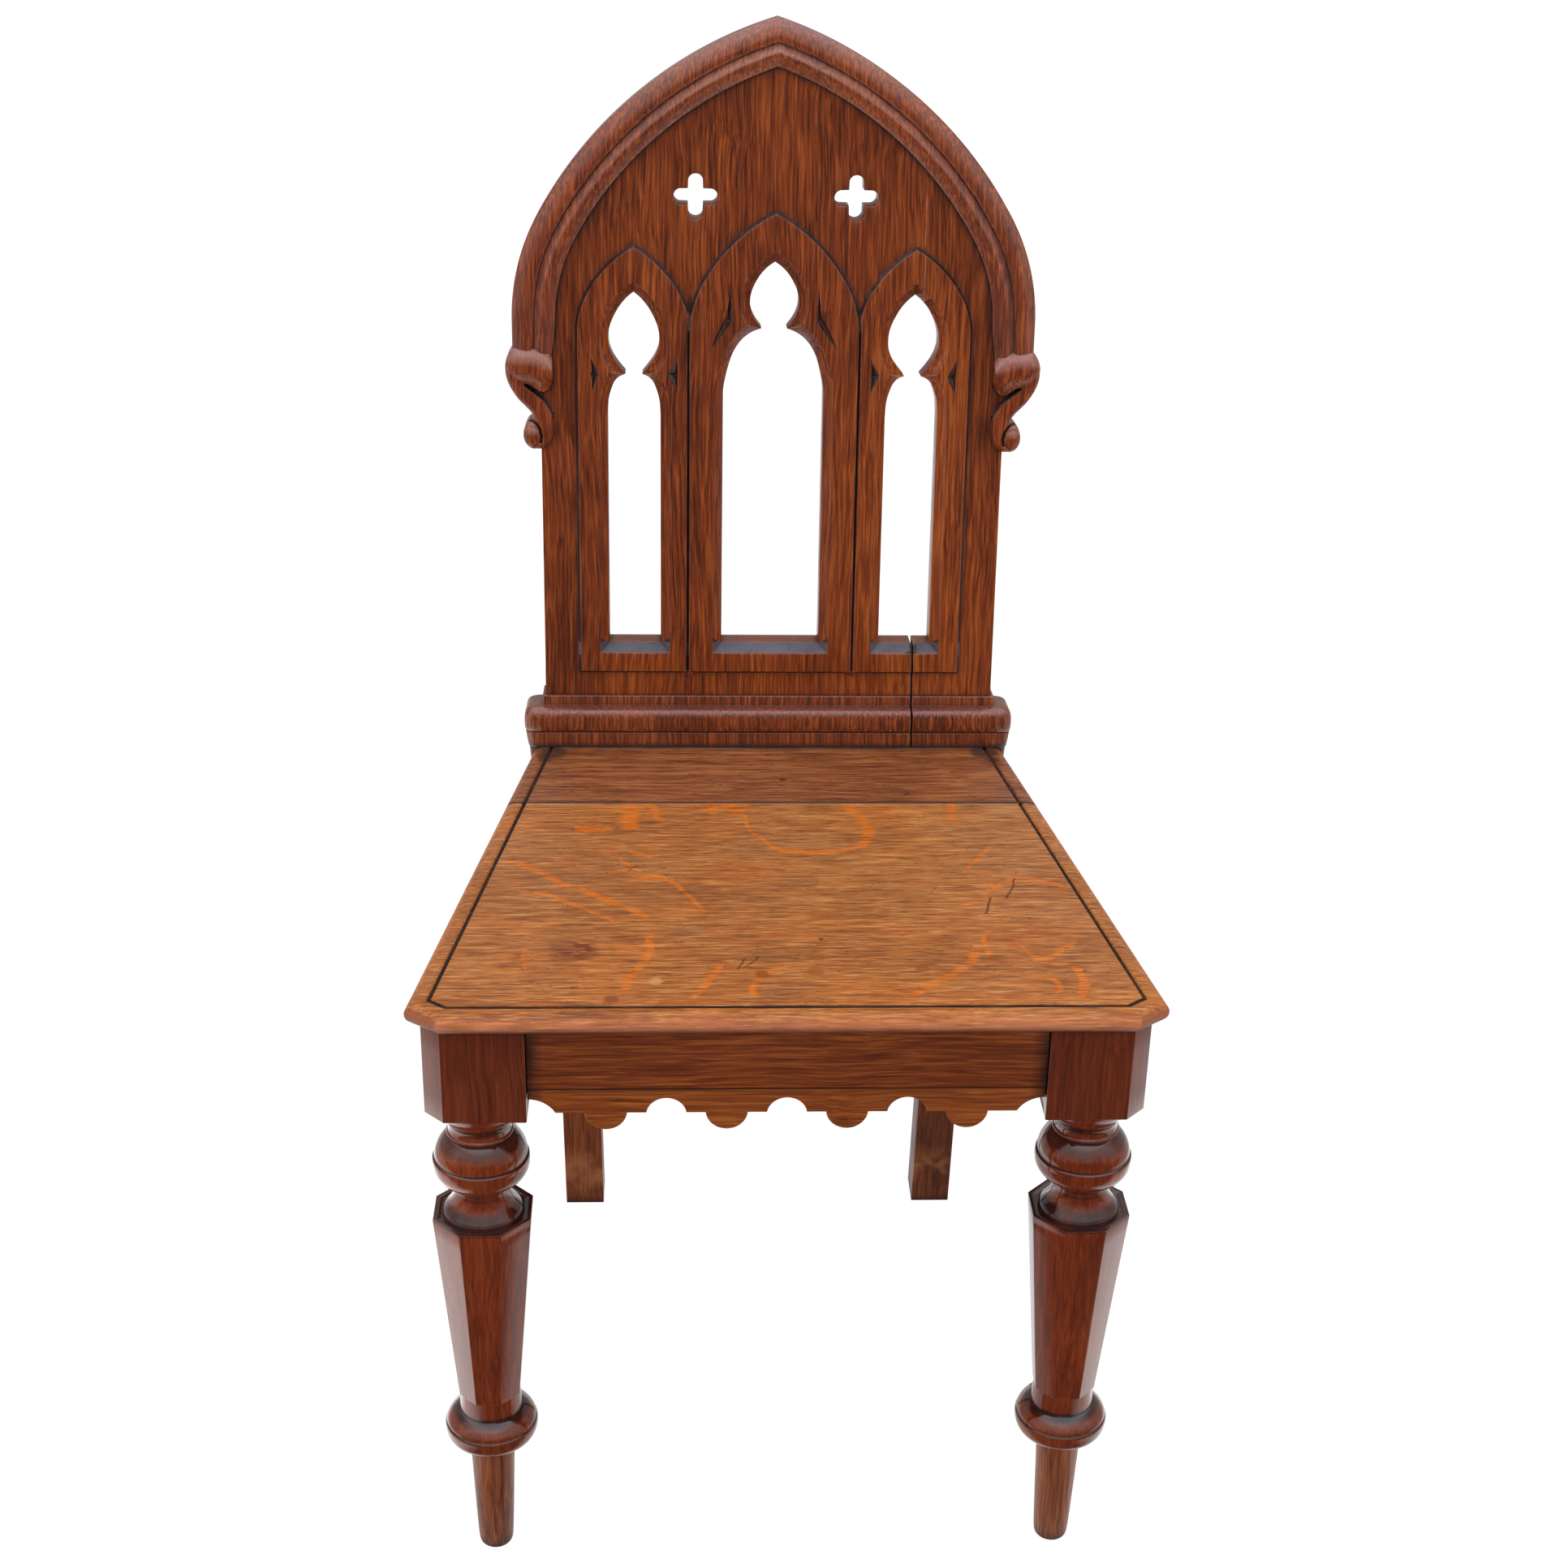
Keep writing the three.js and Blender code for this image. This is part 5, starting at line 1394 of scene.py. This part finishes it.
# Base moulding: band and torus round the foot of the back, returned at both ends

BASE_FOOT = -47.6
BASE_SECTION = [
    [(5.4, 11.4, BASE_FOOT), (5.4, 12.4, -36.95)],
    [(8.6, 12.7, -36.9), (9.0, 13.0, -36.4), (9.2, 13.9, -31.5), (9.2, 14.6, -26.6), (8.9, 14.6, -26.1)],
    [(8.2, 14.3, -25.75), (8.2, 14.3, -25.5)],
    [(9.2, 14.8, -25.2), (10.1, 15.1, -24.2), (10.8, 15.4, -22), (11.2, 15.5, -19), (11.3, 15.4, -16.5),
     (11.0, 15.1, -13.8), (10.3, 14.4, -11.5), (9.0, 13.1, -9.8), (6.9, 10.9, -8.6), (4.6, 8.4, -8.0)],
    [(2.6, 6.4, -7.75), (2.5, 2.6, -7.6)],
    [(2.5, 2.5, -7.3), (2.5, 2.5, -1.5)],
    [(2.4, 2.4, -1.0), (2.1, 2.1, -0.75), (1.5, 1.5, -0.62), (0.02, 0.02, -0.6)],
]
BASE_TOP = -0.6


def base_moulding():
    """The right and the left part of the moulding, split on the open joint."""
    halves = [], []
    for front, side, level in smooth_runs(BASE_SECTION):
        half = STILE_HALF + side
        corner = min(front, side) * 0.75 + 0.2
        turn = [(half, -BOARD_THICKNESS + (BOARD_THICKNESS + front - corner) * k / 3) for k in range(3)]
        for k in range(5):
            angle = math.pi / 2 * k / 4
            turn.append((half - corner * (1 - math.cos(angle)), front - corner * (1 - math.sin(angle))))
        across = [(x, front) for x in np.linspace(half - corner, crack_at(level, 1), 6)[1:]]
        middle = [(x, front) for x in np.linspace(crack_at(level, -1), -half + corner, 30)[:-1]]
        left = np.array(turn)[::-1] * MIRROR
        for rings, run in zip(halves, (turn + across, np.concatenate([middle, left]))):
            rings.append(upright(run, level))
    bodies = []
    for rings, joint, rear in zip(halves, (-1, 0), (0, -1)):
        count, total = len(rings[0]), sum(len(ring) for ring in rings)
        joint_x, rear_x = rings[0][joint][0], rings[0][rear][0]
        corners = [(joint_x, 0.03, BASE_FOOT), (joint_x, 0.03, BASE_TOP), (rear_x, 0.03, BASE_TOP),
                   (rear_x, 0.03, BASE_FOOT)]
        faces = bands_between(len(rings), count, False)
        faces.append(tuple(range(joint % count, total, count)) + (total + 1, total))
        bodies.append((np.concatenate(rings + [corners]), faces))
    return bodies


for name, node, body in zip(("base_left", "base_right"), ("base_moulding", "base_moulding_right"),
                            reversed(base_moulding())):
    add_piece(name, from_back(body[0]), body[1], base_oak, node, "back_wood", sharp=36)

# Pieces that keep their CAD solids, with eased arrises

KEPT = {
    "front_rail": (rail_oak, 0.5),
    "side_rail_left": (side_rail_oak, 0.5),
    "side_rail_right": (side_rail_oak, 0.5),
    "rear_rail": (hidden_oak, 0.5),
    "rear_leg_left": (rear_leg_oaks["left"], 1.4),
    "rear_leg_right": (rear_leg_oaks["right"], 1.4),
}
for i in range(1, 5):
    KEPT[f"glue_block_{i}"] = (hidden_oak, 0.4)
    KEPT[f"seat_screw_{i}"] = (screw_steel, 0.0)
    KEPT[f"back_screw_{i}"] = (screw_steel, 0.0)
for node, (material, ease) in KEPT.items():
    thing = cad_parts[node]
    thing.data.materials.clear()
    thing.data.materials.append(material)
    if ease:
        weld = thing.modifiers.new("weld", "WELD")
        weld.merge_threshold = 0.00001
        bevel = thing.modifiers.new("ease", "BEVEL")
        bevel.width = ease * MM
        bevel.segments = 2
        bevel.limit_method = "ANGLE"
        bevel.angle_limit = math.radians(35)
        bevel.harden_normals = False

# Stage and light. The floor and the sky show the wood a bright ground at both sides and a dark one
# in front, as in the open air, so that the sheen lies on the facets that turn sideways or up.

FLOOR_WHITE = 1.15
FLOOR_SHARE = 0.82
GLOSS_FRONT = 0.06
GLOSS_MIDDLE = 0.8
GLOSS_BESIDE = 1.8
GLOSS_AWAY = 0.8
GLOSS_RIGHT = 0.75
SKY_GLOSS = 2.6
FRONT_SKY = 0.42
SIDE_GLOSS = 0.5
FRONT_GLOSS = 0.05
BEHIND_GLOSS = 0.45
WORLD_LIGHT = 0.30
FLOOR_REACH = 14.0
SKY_TINT = (0.50, 0.62, 0.86)


def rays(n):
    """Rays that see the stage as a white ground, and rays that reflect from the object."""
    camera, through, glossy = (n.out("ShaderNodeLightPath", f"Is {kind} Ray") for kind in
                               ("Camera", "Transmission", "Glossy"))
    return n.math("MAXIMUM", camera, through), glossy


def floor():
    mesh = bpy.data.meshes.new("floor")
    corners = [(x * FLOOR_REACH, y * FLOOR_REACH, 0) for x, y in ((-1, -1), (1, -1), (1, 1), (-1, 1))]
    mesh.from_pydata(corners, [], [(0, 1, 2, 3)])
    plane = bpy.data.objects.new("floor", mesh)
    bpy.context.scene.collection.objects.link(plane)
    plane.location.z = -0.0005
    n = Nodes("pale_floor")
    seen, glossy = rays(n)
    across, away = n.part(n.place, "X"), n.part(n.place, "Y")
    aside = abs(across)
    ahead = n.span(away, -0.235, -0.19, GLOSS_FRONT, GLOSS_MIDDLE)
    beside = n.span(aside, 0.45, 0.95, GLOSS_BESIDE, GLOSS_AWAY)
    beside = beside * n.span(across, -0.1, 0.1, 1.0, GLOSS_RIGHT)
    gloss = n.between(ahead, beside, n.span(aside, 0.24, 0.31) * n.span(away, -0.42, -0.30))
    glow = n.out("ShaderNodeEmission", 0, {
        "Color": (1, 1, 1), "Strength": n.between(FLOOR_WHITE, gloss, glossy)})
    plain = n.out("ShaderNodeBsdfDiffuse", 0, {"Color": (0.80, 0.79, 0.78)})
    distance = n.vector("LENGTH", n.place, output="Value")
    white = seen * n.span(distance, 0.9, 2.2, FLOOR_SHARE, 1.0)
    mesh.materials.append(n.shown_by(n.out("ShaderNodeMixShader", 0, {
        0: n.math("MAXIMUM", white, glossy), 1: plain, 2: glow})))


def lamp(name, place, target, size, power, colour):
    data = bpy.data.lights.new(name, "AREA")
    data.shape = "RECTANGLE"
    data.size, data.size_y = size
    data.energy = power
    data.color = colour
    thing = bpy.data.objects.new(name, data)
    bpy.context.scene.collection.objects.link(thing)
    thing.location = place
    thing.rotation_euler = (Vector(target) - Vector(place)).to_track_quat("-Z", "Y").to_euler()
    thing.visible_camera = False
    thing.visible_glossy = False


def sky():
    """White to the camera, plain to diffuse light, and for sheen dark in front and bright above."""
    world = bpy.data.worlds.new("studio")
    bpy.context.scene.world = world
    n = Nodes("studio", world)
    seen, glossy = rays(n)
    across, away, up = (n.part(n.place, axis) for axis in "XYZ")
    level = n.span(away, -0.2, 0.6, FRONT_GLOSS, BEHIND_GLOSS)
    level = n.between(level, SIDE_GLOSS, n.span(abs(across), 0.55, 0.95))
    ahead = n.span(up, 0.14, 0.62) * n.span(away, 0.1, -0.3)
    bright = n.math("MAXIMUM", n.span(up, 0.58, 0.86), ahead * FRONT_SKY)
    gloss = n.between(level, SKY_GLOSS, bright)
    plain = n.math("MULTIPLY_ADD", seen, 1 - WORLD_LIGHT, WORLD_LIGHT)
    n.shown_by(n.out("ShaderNodeBackground", 0, {
        "Strength": n.between(plain, gloss, glossy),
        "Color": n.mix(n.span(up, 0.80, 0.97) * glossy, (1.0, 1.0, 1.0), SKY_TINT),
    }), "World")


floor()
lamp("window_left", (-2.3, -0.7, 0.9), (0, 0, 0.45), (1.6, 2.2), 38, (1.0, 0.99, 0.97))
lamp("window_right", (2.3, -0.7, 0.9), (0, 0, 0.45), (1.6, 2.2), 34, (1.0, 0.99, 0.98))
lamp("sky", (0.0, -0.2, 2.6), (0, 0.0, 0.4), (2.4, 2.0), 30, (0.97, 0.98, 1.0))
lamp("fill", (-0.3, -3.0, 2.2), (0, 0, 0.45), (1.4, 1.0), 30, (1.0, 0.98, 0.96))
sky()

# Camera

CAMERA = {"place": (-0.06491, -1.410348, 1.1389), "yaw": 2.81, "pitch": 25.58, "roll": -1.27, "lens": 55.22}


def photo_camera():
    yaw, pitch, roll = (math.radians(CAMERA[key]) for key in ("yaw", "pitch", "roll"))
    forward = Vector((math.sin(yaw) * math.cos(pitch), math.cos(yaw) * math.cos(pitch), -math.sin(pitch)))
    right = Vector((math.cos(yaw), -math.sin(yaw), 0))
    down = forward.cross(right)
    across = math.cos(roll) * right + math.sin(roll) * down
    downward = -math.sin(roll) * right + math.cos(roll) * down
    turn = Matrix((across, -downward, -forward)).transposed()
    data = bpy.data.cameras.new("camera")
    data.lens = CAMERA["lens"]
    data.sensor_width = 36
    data.clip_end = 100
    camera = bpy.data.objects.new("camera", data)
    bpy.context.scene.collection.objects.link(camera)
    camera.matrix_world = Matrix.Translation(CAMERA["place"]) @ turn.to_4x4()
    bpy.context.scene.camera = camera


photo_camera()
bpy.context.scene.view_settings.view_transform = "Standard"
